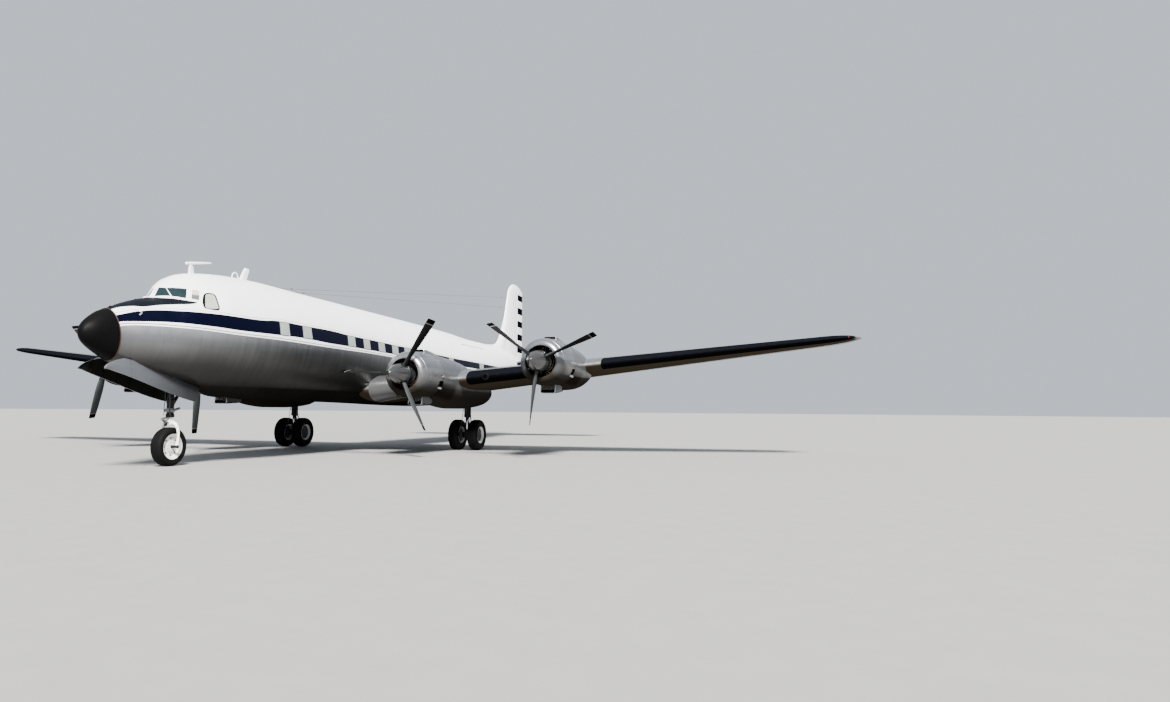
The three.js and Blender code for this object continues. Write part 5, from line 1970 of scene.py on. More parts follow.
@dataclass
class PowerUnit:
    """The parts of an engine, modelled once about the thrust line, with y from the propeller's plane.

    Attributes:
        lip: how far aft of the propeller's plane the cowling's lip is.
        ducts: the scoops on top of the cowling and underneath.
        outline: the cowling's outline from the inside round the lip, as (aft of the lip, radius).
    """

    lip: float = 0.27
    ducts: tuple[Duct, Duct] = (
        Duct(1.0, 0.215, 0.865, 1, 0.072, 0.845), Duct(0.82, 0.25, 1.0, -1, 0.120, 0.975)
    )
    outline: Rows = (
        (1.449, 0.700), (0.9, 0.712), (0.52, 0.712), (0.34, 0.655), (0.22, 0.590), (0.13, 0.528),
        (0.07, 0.498), (0.035, 0.492), (0.012, 0.503), (0.0, 0.535), (0.004, 0.562), (0.02, 0.598),
        (0.05, 0.638), (0.09, 0.670), (0.14, 0.694), (0.196, 0.712), (0.200, 0.708), (0.206, 0.708),
        (0.210, 0.716), (0.30, 0.734), (0.40, 0.746), (0.52, 0.755), (0.80, 0.759), (1.0, 0.757),
        (1.2, 0.750), (1.449, 0.735)
    )

    def cowling(self) -> Piece:
        """The nose ring and barrel, the ducts, the flaps behind and the small fairings."""
        barrel = Bench.turned(
            "cowl_barrel", [(self.lip + a, r) for a, r in self.outline], "Y", (0, 0, 0), 96
        )
        self.coats(barrel)
        # Inside the barrel, behind the lip, is painted deep shade.
        Bench.paint(barrel, 2, lambda c, n: math.hypot(c.x, c.z) < 0.715 and c.y > self.lip + 0.24)
        parts = [barrel]
        for k, duct in enumerate(self.ducts):
            scoop = duct.build(f"cowl_duct_{k}", self.lip)
            self.coats(scoop)
            # The lower duct's front takes a lighter grey than the cowling's painted shade: a painted sunlit
            # side.
            if duct.up < 0:
                Bench.paint(scoop, 4, lambda c, n: c.y < self.lip + 1.7)
            duct.shade(scoop, self.lip, 1, 2)
            parts.append(scoop)
        petal = self.petal()
        for turn in FLAP_TURNS:
            parts.append(Bench.copy(petal, f"cowl_flap_{turn}", spun(turn)))
        Bench.discard(petal)
        for turn in BLISTER_TURNS:
            parts.append(self.blister(turn))
        for sign in (1, -1):
            parts += self.exhaust(sign)
        return Bench.join("cowling_pattern", parts)

    def coats(self, obj: Piece) -> None:
        """Lays out the cowling's finishes: skin, bright metal, painted deep shade, soot, and a lighter grey
        that paints the lower duct's sunlit side.
        """
        Bench.dress(obj, COWL_METAL, Coat.POLISHED, Coat.SPACE, Coat.SOOT, Coat.DISC_GREY)

    def petal(self) -> Piece:
        """One cowl flap, closed."""
        rings = []
        for aft, radius in ((1.17, 0.7525), (1.176, 0.7565), (1.30, 0.751), (1.435, 0.743), (1.442, 0.739)):
            places = [math.radians(t) for t in spread(-FLAP_HALF, FLAP_HALF, 9)]
            outer = [polar(radius, t, self.lip + aft) for t in places]
            inner = [polar(radius - 0.012, t, self.lip + aft) for t in reversed(places)]
            rings.append(outer + inner)
        obj = Bench.loft("cowl_flap", rings)
        self.coats(obj)
        return obj

    def blister(self, turn: float) -> Piece:
        """A small bright fairing over a flap's jack."""
        rings = []
        for aft, size in (
            (0.94, 0.003), (0.96, 0.010), (1.0, 0.016), (1.08, 0.019), (1.16, 0.016), (1.22, 0.008),
            (1.23, 0.003)
        ):
            rings.append([
                (size * 1.1 * math.cos(t), self.lip + aft, 0.752 + size * math.sin(t)) for t in turns(12)
            ])
        obj = Bench.loft("cowl_blister", rings)
        obj.data.transform(spun(turn))
        self.coats(obj)
        Bench.paint(obj, 1)
        return obj

    def exhaust(self, sign: int) -> list[Piece]:
        """The notch low on one side at the cowling's end, sooty and painted in deep shade, with its short
        pipe.
        """
        turn = math.radians(112) * sign
        rings = []
        for radius in (0.73, 0.7595):
            outline = rounded(0.30, 0.20, 0.05, 5)
            spots = [(turn + v / 0.76, self.lip + 1.29 + u) for u, v in outline]
            rings.append([polar(radius, a, aft) for a, aft in spots])
        notch = Bench.loft("exhaust_notch", rings)
        self.coats(notch)
        Bench.paint(notch, 2)
        low = math.radians(123) * sign
        bends = ((0.70, 1.18), (0.735, 1.26), (0.775, 1.345), (0.79, 1.375))
        path = [polar(r, low, self.lip + aft) for r, aft in bends]
        pipe = Bench.pipe("exhaust_pipe", path, (0.036, 0.036, 0.038, 0.032), 24)
        self.coats(pipe)
        Bench.paint(pipe, 1)
        return [notch, pipe]

    def engine(self) -> Piece:
        """The crankcase and its fittings before two rows of nine finned cylinders."""
        case = Bench.turned(
            "crankcase",
            [
                (0.258, 0.0), (0.258, 0.14), (0.30, 0.155), (0.34, 0.165), (0.345, 0.20), (0.365, 0.20),
                (0.37, 0.185), (0.45, 0.235), (0.52, 0.268), (0.525, 0.30), (0.545, 0.30), (0.55, 0.285),
                (0.62, 0.30), (1.25, 0.30), (1.70, 0.42), (1.70, 0.0)
            ],
            "Y", (0, 0, 0), 48
        )
        Bench.dress(case, Coat.ENGINE)
        baffle = Bench.turned(
            "baffle", [(1.12, 0.28), (1.12, 0.705), (1.15, 0.705), (1.15, 0.28)], "Y", (0, 0, 0), 48
        )
        # The baffle is painted deep shade.
        Bench.dress(baffle, Coat.SPACE)
        harness = Bench.turned("harness", [
            (0.60 + 0.018 * math.cos(t), 0.335 + 0.018 * math.sin(t)) for t in turns(10)
        ], "Y", (0, 0, 0), 48)
        Bench.dress(harness, Coat.BRASS)
        parts = [case, baffle, harness]
        front, rear = self.cylinder(0.735, 11, 20), self.cylinder(0.975, 8, 14)
        for k in range(9):
            for pattern, shift in ((front, 0), (rear, 20)):
                parts.append(Bench.copy(pattern, f"cylinder_{shift}_{k}", spun(40 * k + shift)))
        for k in range(18):
            turn = math.radians(20 * k + 10)
            bolt = Bench.rod(
                f"case_bolt_{k}", polar(0.282, turn, 0.518), polar(0.282, turn, 0.505), 0.011, sides=6
            )
            parts.append(Bench.dress(bolt, Coat.DULL))
        Bench.discard(front, rear)
        for turn, reach, coat in (
            (0, 0.30, Coat.ENGINE), (52, 0.27, Coat.DULL), (-52, 0.27, Coat.DULL), (180, 0.28, Coat.ENGINE)
        ):
            a = math.radians(turn)
            unit = Bench.rod(f"gear_case_{turn}", polar(0.13, a, 0.43), polar(reach, a, 0.36), 0.055, 0.045)
            parts.append(Bench.dress(unit, coat))
        return Bench.join("engine_pattern", parts)

    def cylinder(self, y: float, fins: int, steps: int) -> Piece:
        """One upright cylinder with fins, rocker boxes, pushrod tubes and ignition leads."""
        outline = [(0.27, 0.0), (0.27, 0.058)]
        for k in range(fins):
            z, pitch = 0.295 + k * 0.185 / fins, 0.185 / fins
            outline += [(z, 0.058), (z, 0.076), (z + pitch * 0.4, 0.076), (z + pitch * 0.4, 0.058)]
        for k in range(6):
            z = 0.487 + k * 0.019
            outline += [
                (z, 0.066), (z, 0.094 - 0.003 * k), (z + 0.007, 0.094 - 0.003 * k), (z + 0.007, 0.066)
            ]
        outline += [(0.602, 0.05), (0.605, 0.0)]
        barrel = Bench.turned("cylinder_barrel", outline, "Z", (0, y, 0), steps)
        Bench.dress(barrel, Coat.IRON)
        parts = [barrel]
        for sign in (1, -1):
            box = Bench.block(
                "rocker_box", (sign * 0.055 - 0.026, y - 0.09, 0.535),
                (sign * 0.055 + 0.026, y - 0.01, 0.612), 0.012
            )
            Bench.dress(box, Coat.ENGINE)
            tube = Bench.rod(
                "pushrod", (sign * 0.045, y - 0.10, 0.285), (sign * 0.055, y - 0.078, 0.545), 0.011,
                sides=10
            )
            Bench.dress(tube, Coat.DULL)
            parts += [box, tube]
        lead = Bench.pipe(
            "plug_lead",
            [(0.0, 0.60, 0.35), (0.0, y - 0.115, 0.42), (0.0, y - 0.11, 0.50), (0.0, y - 0.085, 0.535)],
            0.0075, 8
        )
        Bench.dress(lead, Coat.BRASS)
        return Bench.join("cylinder_pattern", [*parts, lead])

    def spinner(self) -> Piece:
        """The pointed spinner with its band and dark blade sockets."""
        body = Bench.turned(
            "spinner_body",
            [
                (-0.690, 0.0), (-0.686, 0.014), (-0.668, 0.040), (-0.635, 0.070), (-0.57, 0.116),
                (-0.48, 0.168), (-0.36, 0.224), (-0.24, 0.266), (-0.12, 0.296), (-0.02, 0.314),
                (0.075, 0.325), (0.079, 0.320), (0.086, 0.320), (0.090, 0.328), (0.17, 0.330),
                (0.245, 0.326), (0.25, 0.318), (0.25, 0.0)
            ],
            "Y", (0, 0, 0), 72
        )
        Bench.dress(body, Coat.SPINNER, Coat.IRON)
        parts = [body]
        for k in range(3):
            ring = Bench.turned(
                f"socket_{k}", [(0.22, 0.0), (0.22, 0.118), (0.312, 0.126), (0.322, 0.118), (0.318, 0.0)],
                "Z", (0, 0, 0), 36
            )
            ring.data.transform(spun(120 * k))
            Bench.dress(ring, Coat.SPINNER, Coat.IRON)
            Bench.paint(ring, 1)
            parts.append(ring)
        return Bench.join("spinner_pattern", parts)

    def blade(self) -> Piece:
        """One upright blade with a square tip."""
        rows = (
            (0.15, 0.150, 0.130, 98), (0.43, 0.200, 0.110, 96), (1.0, 0.360, 0.060, 86),
            (1.75, 0.400, 0.028, 76), (1.995, 0.375, 0.016, 74)
        )
        chord, thick, pitch = FairLine.columns(rows)
        rings = []
        for r, trim in (
            (0.2, 1), (0.3, 1), (0.43, 1), (0.6, 1), (0.8, 1), (1.0, 1), (1.25, 1), (1.5, 1), (1.75, 1),
            (1.9, 1), (1.96, 0.99), (1.985, 0.965), (1.995, 0.93)
        ):
            turn = math.radians(pitch.at(r))
            flat = min(1.0, max(0.0, (r - 0.3) / 0.6))
            ring = []
            for t in turns(24):
                a = -0.5 * math.cos(t)
                b = mix(0.5, 0.62 * (1 - a) / 1.25, flat) * math.sin(t)
                a, b = a * chord.at(r) * trim, b * thick.at(r) * trim
                ring.append(
                    (a * math.cos(turn) - b * math.sin(turn), a * math.sin(turn) + b * math.cos(turn), r)
                )
            rings.append(ring)
        return Bench.loft("blade_pattern", rings)


COWL_METAL = SheetMetal("cowl_inside_metal", (0.14, 0.14, 0.145), 0.3)


@dataclass(frozen=True)
class EnginePlace:
    """Where an engine hangs on the wing.

    Attributes:
        name: the engine's name in the record.
        x: its distance out to port.
        z: the height of its thrust line.
        plane: the station of its propeller's plane.
        inner: whether it is an inner one.
        phase: its first blade's angle from up towards port.
    """

    name: str
    x: float
    z: float
    plane: float
    inner: bool
    phase: float

    @property
    def matrix(self) -> Matrix:
        """The move from the pattern's place."""
        return Matrix.Translation((self.x, along(self.plane), self.z))


ENGINES = (
    EnginePlace("outer_port", 8.12, 3.04, 8.88, False, 66.4),
    EnginePlace("inner_port", 3.73, 2.64, 8.37, True, 32.8),
    EnginePlace("inner_starboard", -3.73, 2.64, 8.37, True, 63.0),
    EnginePlace("outer_starboard", -8.12, 3.04, 8.88, False, 75.0),
)
NACELLE_INNER = (
    (1.72, 0.735, 0.760, -0.79), (2.6, 0.740, 0.715, -1.02), (3.6, 0.750, 0.640, -1.10),
    (4.7, 0.755, 0.450, -1.10), (5.55, 0.750, 0.190, -1.06), (6.10, 0.710, 0.010, -1.00),
    (6.26, 0.630, -0.080, -0.93), (6.31, 0.500, -0.180, -0.82)
)
NACELLE_OUTER = (
    (1.72, 0.735, 0.760, -0.76), (2.6, 0.735, 0.700, -0.85), (3.6, 0.690, 0.600, -0.81),
    (4.5, 0.560, 0.370, -0.66), (5.3, 0.330, 0.090, -0.41), (5.74, 0.130, -0.080, -0.25)
)


@dataclass
class Engines:
    """The four engines, copied from one pattern, with their nacelles."""

    unit: PowerUnit = field(default_factory=PowerUnit)

    def build(self) -> None:
        """Builds the patterns and places a copy of each at every engine."""
        cowling, engine = self.unit.cowling(), self.unit.engine()
        spinner, blade = self.unit.spinner(), self.unit.blade()
        for place in ENGINES:
            self.nacelle(place)
            cowl = Bench.copy(cowling, f"cowling_{place.name}_skin", place.matrix)
            centre, face = (place.x, place.z), place.plane + self.unit.lip
            cowl.data.materials[0] = PALETTE.of(
                CowlPaint(f"cowl_{place.name}", (0.26, 0.268, 0.288), 0.30, centre=centre, face=face)
            )
            Bench.deliver(cowl, "airframe", "bare_metal", f"cowling_{place.name}")
            block = Bench.copy(engine, f"engine_{place.name}_block", place.matrix)
            Bench.deliver(block, "airframe", "engine_iron", f"engine_{place.name}")
            self.airscrew(place, spinner, blade)
        Bench.discard(cowling, engine, spinner, blade)

    @staticmethod
    def airscrew(place: EnginePlace, spinner: Piece, blade: Piece) -> None:
        """The spinner and the three blades of one engine."""
        front = BladePaint(f"blade_{place.name}", (place.x, place.z))
        back = BladePaint(f"blade_back_{place.name}", (place.x, place.z), (0.031, 0.033, 0.035), 0.05)
        parts = []
        for k in range(3):
            turn = spun(place.phase + 120 * k)
            part = Bench.copy(blade, f"blade_{place.name}_{k}", Matrix.Identity(4))
            Bench.dress(part, front, back)
            Bench.paint(part, 1, lambda c, n: n.x < -0.2)
            part.data.transform(place.matrix @ turn)
            parts.append(part)
        blades = Bench.join(f"blades_{place.name}", parts)
        Bench.deliver(blades, f"airscrew_{place.name}", "blade_black", f"propeller_{place.name}")
        turn = spun(place.phase)
        hub = Bench.copy(spinner, f"spinner_{place.name}", place.matrix @ turn)
        Bench.deliver(hub, f"airscrew_{place.name}", "polished_metal")

    def nacelle(self, place: EnginePlace) -> None:
        """The nacelle behind one engine."""
        rows = NACELLE_INNER if place.inner else NACELLE_OUTER
        wide, top, low = FairLine.columns(rows)
        rings = []
        for aft in [
            rows[0][0], 1.78, 1.9, *spread(2.1, rows[-1][0] - 0.25, 18), rows[-1][0] - 0.12,
            rows[-1][0] - 0.05, rows[-1][0]
        ]:
            half, middle = (top.at(aft) - low.at(aft)) / 2, (top.at(aft) + low.at(aft)) / 2
            x, y, z = place.x, along(place.plane + aft), place.z + middle
            rings.append(
                [(x + wide.at(aft) * math.sin(t), y, z + half * math.cos(t)) for t in turns(56, 0.5)]
            )
        shell = Bench.loft(f"nacelle_{place.name}_skin", rings)
        paint = CowlPaint(
            f"nacelle_{place.name}_metal", (0.19, 0.197, 0.215), 0.34, centre=(place.x, place.z),
            face=place.plane, soot=(1.5, 2.75)
        )
        Bench.dress(shell, paint)
        Bench.deliver(shell, "airframe", "bare_metal", f"nacelle_{place.name}")


@dataclass
class Wheel:
    """A tyre on a dished disc.

    Attributes:
        name: its name.
        at: its middle.
        radius: the tyre's radius.
        width: the tyre's width.
        rim: the rim's radius.
        ribbed: whether the tread has grooves around it.
    """

    name: str
    at: Point
    radius: float
    width: float
    rim: float
    ribbed: bool = True

    def tyre(self) -> Piece:
        """The tyre, spun from its outline."""
        w, d, r = self.width / 2, self.radius - self.rim, self.radius
        side = [
            (0.70, 0.0), (0.80, 0.02), (0.90, 0.14), (0.97, 0.30), (1.0, 0.46), (0.985, 0.62), (0.93, 0.76),
            (0.83, 0.875), (0.70, 0.945), (0.56, 0.98)
        ]
        right = [(f * w, self.rim + g * d) for f, g in side]
        tread = [0.40, 0.13] if self.ribbed else []
        for f in tread:
            right += [
                (f * w + 0.010, r), (f * w + 0.008, r - 0.012), (f * w - 0.008, r - 0.012),
                (f * w - 0.010, r)
            ]
        if not self.ribbed:
            right += [(0.38 * w, 0.998 * r), (0.16 * w, r)]
        left = [(-a, b) for a, b in reversed(right)]
        return Bench.turned(f"{self.name}_tyre_skin", right + left, "X", self.at, 72, 40.0)

    def disc(self, holes: int, bore: float) -> Piece:
        """The disc with its flange, holes, bolts and hub cap on both sides."""
        w, r = 0.72 * self.width / 2, self.rim
        right = [
            (w * 1.02, r + 0.004), (w * 1.12, r + 0.012), (w * 1.15, r + 0.002), (w * 1.08, r - 0.016),
            (w * 0.93, r - 0.030), (w * 0.62, r * 0.84), (w * 0.48, r * 0.78), (w * 0.46, r * 0.62),
            (w * 0.52, r * 0.50), (w * 0.66, r * 0.46), (w * 0.70, r * 0.36), (w * 0.72, r * 0.24),
            (w * 0.74, bore)
        ]
        left = [(-a, b) for a, b in reversed(right)]
        body = Bench.turned(f"{self.name}_disc", right[::-1] + left[::-1], "X", self.at, 72, 35.0)
        coats = (Coat.DISC_GREY, Coat.DISC_WHITE, Coat.HUB_RED, Coat.SPACE, Coat.DULL)
        Bench.dress(body, *coats)
        centre = Vector(self.at)
        away = lambda c: math.hypot(c.y - centre.y, c.z - centre.z)
        Bench.paint(body, 1, lambda c, n: away(c) > r * 0.86)
        Bench.paint(body, 2, lambda c, n: away(c) < r * 0.40)
        parts = [body]
        # The holes are studs in painted deep shade.
        rounds = (
            ("hole", 3, turns(holes), 0.47, 0.69, (-0.01, 0.004), r * 0.075, 14),
            ("bolt", 4, turns(10, 0.5), 0.69, 0.41, (0.0, 0.014), 0.011, 6),
        )
        for name, slot, places, out, reach, depths, radius, sides in rounds:
            for turn in places:
                for sign in (1, -1):
                    spot = Vector(
                        (sign * w * out, math.cos(turn) * r * reach, math.sin(turn) * r * reach)
                    ) + centre
                    ends = [spot + Vector((sign * depth, 0, 0)) for depth in depths]
                    stud = Bench.dress(Bench.rod(name, *ends, radius, sides=sides), *coats)
                    Bench.paint(stud, slot)
                    parts.append(stud)
        return Bench.join(f"{self.name}_wheel", parts)


@dataclass
class MainGear:
    """A main leg with twin wheels, built to port and mirrored.

    Attributes:
        x: its distance out.
        y: the axle's place.
        z: the axle's height.
        spread: each wheel's distance from the leg.
        tyre: the tyre's radius and width and the rim's radius.
    """

    x: float = 3.73
    y: float = along(13.85)
    z: float = 0.57
    spread: float = 0.38
    tyre: Point = (0.57, 0.39, 0.30)

    def build(self) -> None:
        """Builds both legs and their wheels."""
        Bench.deliver_pair(self.leg(), "airframe", "gear_grey", "main_leg_port")
        discs = []
        for place, sign in (("outer", 1), ("inner", -1)):
            wheel = Wheel(f"main_{place}", (self.x + sign * self.spread, self.y, self.z), *self.tyre)
            tyre = wheel.tyre()
            Bench.dress(tyre, Coat.RUBBER)
            tyre.name = f"main_{place}_tyre_port"
            Bench.deliver_pair(tyre, "main_wheels_port", "tyre", f"main_tyre_{place}_port")
            discs.append(wheel.disc(12, 0.02))
        reach = self.spread + 0.10
        ends = (self.x - reach, self.y, self.z), (self.x + reach, self.y, self.z)
        axle = Bench.rod("axle", *ends, 0.062, sides=32)
        Bench.dress(axle, Coat.HUB_RED)
        rims = Bench.join("main_wheels_port_rims", [*discs, axle])
        Bench.deliver_pair(rims, "main_wheels_port", "wheel_paint", "main_axle_port")

    def leg(self) -> Piece:
        """The oleo leg with its torque links, braces, brakes and pipes."""
        x, y, z = self.x, self.y, self.z
        oleo = Bench.turned(
            "main_oleo",
            [
                (1.22, 0.0), (1.22, 0.118), (1.25, 0.137), (1.31, 0.137), (1.33, 0.128), (1.80, 0.130),
                (1.82, 0.142), (1.90, 0.142), (1.92, 0.132), (2.50, 0.134), (2.50, 0.0)
            ],
            "Z", (x, y, 0), 40
        )
        foot = Bench.turned(
            "main_foot",
            [
                (z - 0.13, 0.0), (z - 0.13, 0.08), (z - 0.09, 0.115), (z + 0.09, 0.115), (z + 0.20, 0.098),
                (z + 0.24, 0.0)
            ],
            "Z", (x, y, 0), 32
        )
        boss = Bench.turned("main_boss", [
            (-0.15, 0.07), (-0.15, 0.112), (-0.13, 0.12), (0.13, 0.12), (0.15, 0.112), (0.15, 0.07),
        ], "X", (x, y, z), 36)
        parts = [Bench.dress(oleo, Coat.GEAR)]
        parts += Bench.rods(Coat.CHROME, ("main_piston", (x, y, z + 0.05), (x, y, 1.24), 0.078, 36))
        parts += [Bench.dress(foot, Coat.GEAR), Bench.dress(boss, Coat.GEAR)]
        parts += Bench.rods(
            Coat.GEAR,
            ("main_drag", (x, y - 0.02, 1.06), (x, along(13.48), 2.5), 0.05, 20),
            ("main_brace_a", (x, y - 0.02, 1.32), (x - 0.24, y - 0.06, 2.5), 0.04, 18),
            ("main_brace_b", (x, y - 0.02, 1.32), (x + 0.24, y - 0.06, 2.5), 0.04, 18),
        )
        knee = (x, y + 0.30, 0.98)
        for sign in (1, -1):
            for k, (aft, up) in enumerate(((0.10, 1.27), (0.09, 0.68))):
                path = [
                    (x + sign * 0.07, y + aft, up), (x + sign * 0.05, y + 0.20, mix(up, knee[2], 0.5)),
                    (x + sign * 0.022, knee[1], knee[2]),
                ]
                link = Bench.pipe(f"torque_{sign}_{k}", path, (0.026, 0.022, 0.018), 12)
                parts.append(Bench.dress(link, Coat.GEAR_LIGHT))
            drum = Bench.turned(
                f"brake_{sign}",
                [(0.155, 0.07), (0.155, 0.17), (0.18, 0.195), (0.235, 0.195), (0.235, 0.07)], "X",
                (0, y, z), 36
            )
            drum.data.transform(Matrix.Translation((x, 0, 0)) @ Matrix.Scale(sign, 4, (1, 0, 0)))
            Bench.tidy(drum)
            parts.append(Bench.dress(drum, Coat.DULL))
            hose = Bench.pipe(
                f"brake_hose_{sign}",
                [
                    (x + sign * 0.12, y - 0.05, 1.9), (x + sign * 0.15, y - 0.07, 1.5),
                    (x + sign * 0.17, y - 0.12, 1.15), (x + sign * 0.20, y - 0.14, 0.92),
                    (x + sign * 0.20, y - 0.10, 0.76)
                ],
                0.011, 10
            )
            parts.append(Bench.dress(hose, Coat.CABLE))
        pin = Bench.rod(
            "torque_pin", (x - 0.06, knee[1], knee[2]), (x + 0.06, knee[1], knee[2]), 0.020, sides=14
        )
        parts.append(Bench.dress(pin, Coat.CHROME))
        for k, height in enumerate((1.40, 1.62, 2.02)):
            band = Bench.turned(
                f"pipe_clip_{k}",
                [(height, 0.112), (height, 0.124), (height + 0.025, 0.124), (height + 0.025, 0.112)], "Z",
                (x, y, 0), 32
            )
            parts.append(Bench.dress(band, Coat.DULL))
        return Bench.join("main_leg_port_strut", parts)


@dataclass
class NoseGear:
    """The nose leg, its steered fork, its wheel and the doors at its sides.

    Attributes:
        y: the wheel's place.
        radius: the tyre's radius.
        wall: how far out the pins in the well's walls end.
        hang: how far out the doors' inside is at the top and how far it moves out a metre down.
    """

    y: float = along(2.91)
    radius: float = 0.505
    wall: float = 0.343
    hang: Pair = (0.36, 0.2)

    def build(self) -> None:
        """Builds all of it."""
        self.leg()
        self.fork()
        wheel = Wheel("nose", (0, self.y, self.radius), self.radius, 0.33, 0.325, False)
        tyre = wheel.tyre()
        Bench.dress(tyre, Coat.RUBBER)
        Bench.deliver(tyre, "nose_wheel", "tyre", "nose_tyre")
        disc = wheel.disc(8, 0.045)
        disc.data.materials[0] = PALETTE.of(Coat.DISC_WHITE)
        disc.data.materials[2] = PALETTE.of(Coat.DISC_WHITE)
        Bench.deliver(disc, "nose_wheel", "wheel_paint", "nose_rim")
        self.doors()

    def leg(self) -> None:
        """The leg on its trunnion, the drag brace and the pipes."""
        y = self.y
        oleo = Bench.turned(
            "nose_oleo",
            [
                (1.262, 0.06), (1.262, 0.092), (1.28, 0.108), (1.34, 0.108), (1.36, 0.09), (1.62, 0.09),
                (1.64, 0.104), (1.72, 0.104), (1.74, 0.09), (2.50, 0.09), (2.50, 0.06)
            ],
            "Z", (0, y, 0), 36
        )
        collar = Bench.turned("nose_collar", [
            (1.40, 0.088), (1.40, 0.112), (1.44, 0.116), (1.50, 0.112), (1.50, 0.088),
        ], "Z", (0, y, 0), 36)
        parts = [Bench.dress(oleo, Coat.GEAR), Bench.dress(collar, Coat.GEAR_LIGHT)]
        parts += Bench.rods(
            Coat.GEAR,
            ("nose_trunnion", (-self.wall, y, 2.33), (self.wall, y, 2.33), 0.06, 24),
            ("nose_brace", (0, y + 0.05, 1.56), (0, along(3.6) - 0.06, 2.38), 0.045, 20),
            ("nose_brace_pin", (-self.wall, along(3.52), 2.38), (self.wall, along(3.52), 2.38), 0.04, 20),
        )
        parts += Bench.rods(
            Coat.GEAR_LIGHT,
            ("steer_jack_a", (0.13, y - 0.06, 1.44), (0.13, y + 0.18, 1.50), 0.035, 18),
            ("steer_jack_b", (-0.13, y - 0.06, 1.44), (-0.13, y + 0.18, 1.50), 0.035, 18),
        )
        for k, (side, out) in enumerate(((1, 0.10), (-1, 0.10), (1, 0.12))):
            pipe = Bench.pipe(
                f"nose_pipe_{k}",
                [
                    (side * 0.07, y - out, 2.35), (side * 0.075, y - out - 0.01, 2.0),
                    (side * 0.085, y - out, 1.7), (side * 0.09, y - out - 0.02, 1.5),
                    (side * 0.10, y - out, 1.32)
                ],
                0.009, 8
            )
            parts.append(Bench.dress(pipe, Coat.CABLE))
        leg = Bench.join("nose_leg_strut", parts)
        Bench.deliver(leg, "airframe", "gear_grey", "nose_leg")

    def fork(self) -> None:
        """The piston, the torque links and the two arms that hold the axle."""
        y, z = self.y, self.radius
        crown = Bench.turned("nose_crown", [
            (1.065, 0.0), (1.065, 0.10), (1.09, 0.118), (1.17, 0.112), (1.215, 0.085), (1.218, 0.0),
        ], "Z", (0, y, 0), 36)
        parts = Bench.rods(Coat.CHROME, ("nose_piston", (0, y, 1.10), (0, y, 1.48), 0.0575, 32))
        parts.append(Bench.dress(crown, Coat.WHITE))
        parts += Bench.rods(Coat.GEAR, ("nose_axle", (-0.265, y, z), (0.265, y, z), 0.038, 24))
        for sign in (1, -1):
            arm = Bench.pipe(
                f"fork_arm_{sign}",
                [
                    (sign * 0.03, y, 1.12), (sign * 0.10, y + 0.004, 1.125),
                    (sign * 0.175, y + 0.012, 1.09), (sign * 0.222, y + 0.03, 1.00),
                    (sign * 0.238, y + 0.05, 0.88), (sign * 0.240, y + 0.052, 0.74),
                    (sign * 0.240, y + 0.03, 0.60), (sign * 0.240, y, 0.505),
                    (sign * 0.240, y - 0.004, 0.46)
                ],
                (0.062, 0.058, 0.048, 0.038, 0.033, 0.032, 0.033, 0.042, 0.024), 20
            )
            parts.append(Bench.dress(arm, Coat.WHITE))
            cap = Bench.turned(
                f"axle_cap_{sign}",
                [(0.20, 0.036), (0.20, 0.044), (0.285, 0.046), (0.30, 0.034), (0.30, 0.0), (0.20, 0.0)],
                "X", (0, y, z), 28
            )
            cap.data.transform(Matrix.Scale(sign, 4, (1, 0, 0)))
            Bench.tidy(cap)
            parts.append(Bench.dress(cap, Coat.GEAR))
            for k, (a, b) in enumerate(
                (((0.05, 0.09, 1.25), (0.03, 0.26, 1.235)), ((0.05, 0.09, 1.11), (0.03, 0.26, 1.22)))
            ):
                link = Bench.rod(
                    f"nose_link_{sign}_{k}", (sign * a[0], y - a[1], a[2]), (sign * b[0], y - b[1], b[2]),
                    0.022, 0.017, 14
                )
                parts.append(Bench.dress(link, Coat.GEAR_LIGHT))
        parts.append(
            Bench.dress(
                Bench.rod(
                    "nose_link_pin", (-0.05, y - 0.26, 1.228), (0.05, y - 0.26, 1.228), 0.018, sides=12
                ),
                Coat.CHROME
            )
        )
        tow = Bench.turned(
            "tow_lug", [(-0.02, 0.018), (-0.02, 0.04), (0.02, 0.04), (0.02, 0.018)], "X",
            (0, y - 0.14, 1.08), 20
        )
        parts.append(Bench.dress(tow, Coat.GEAR))
        fork = Bench.join("nose_fork_arms", parts)
        Bench.deliver(fork, "nose_steering", "gear_grey", "nose_fork")

    def doors(self) -> None:
        """The two doors that hang beside the wheel, with ribs and hinge arms inside."""
        rows = (
            (0.365, 2.45, 2.42), (0.40, 2.49, 2.414), (0.45, 2.53, 2.412), (0.594, 2.60, 2.374),
            (0.76, 2.655, 2.33), (0.93, 2.692, 2.285), (1.09, 2.675, 2.242), (2.942, 2.192, 1.739),
            (3.29, 2.101, 1.684), (3.345, 2.086, 1.70), (3.383, 2.077, 1.74), (3.44, 2.062, 1.96)
        )
        top, low = FairLine.columns(rows)
        stations = [
            0.365, 0.375, 0.40, 0.45, 0.52, 0.594, 0.76, 0.93, 1.09, *spread(1.3, 2.942, 8), 3.1, 3.2, 3.29,
            3.345, 3.383, 3.42, 3.44
        ]
        rings = []
        for s in stations:
            high, bottom = top.at(s), low.at(s)
            outer, inner = [], []
            for t in spread(0.0, 1.0, 8):
                z = mix(high, bottom, t)
                lean = self.hang[0] + self.hang[1] * (high - z) + 0.016 * math.sin(math.pi * t)
                outer.append((lean + 0.026, along(s), z))
                inner.append((lean, along(s), z))
            rings.append(outer + inner[::-1])
        leaf = Bench.loft("nose_door_leaf", rings)
        coats = (DOOR_METAL, Coat.WELL, Coat.GEAR)
        Bench.dress(leaf, *coats)
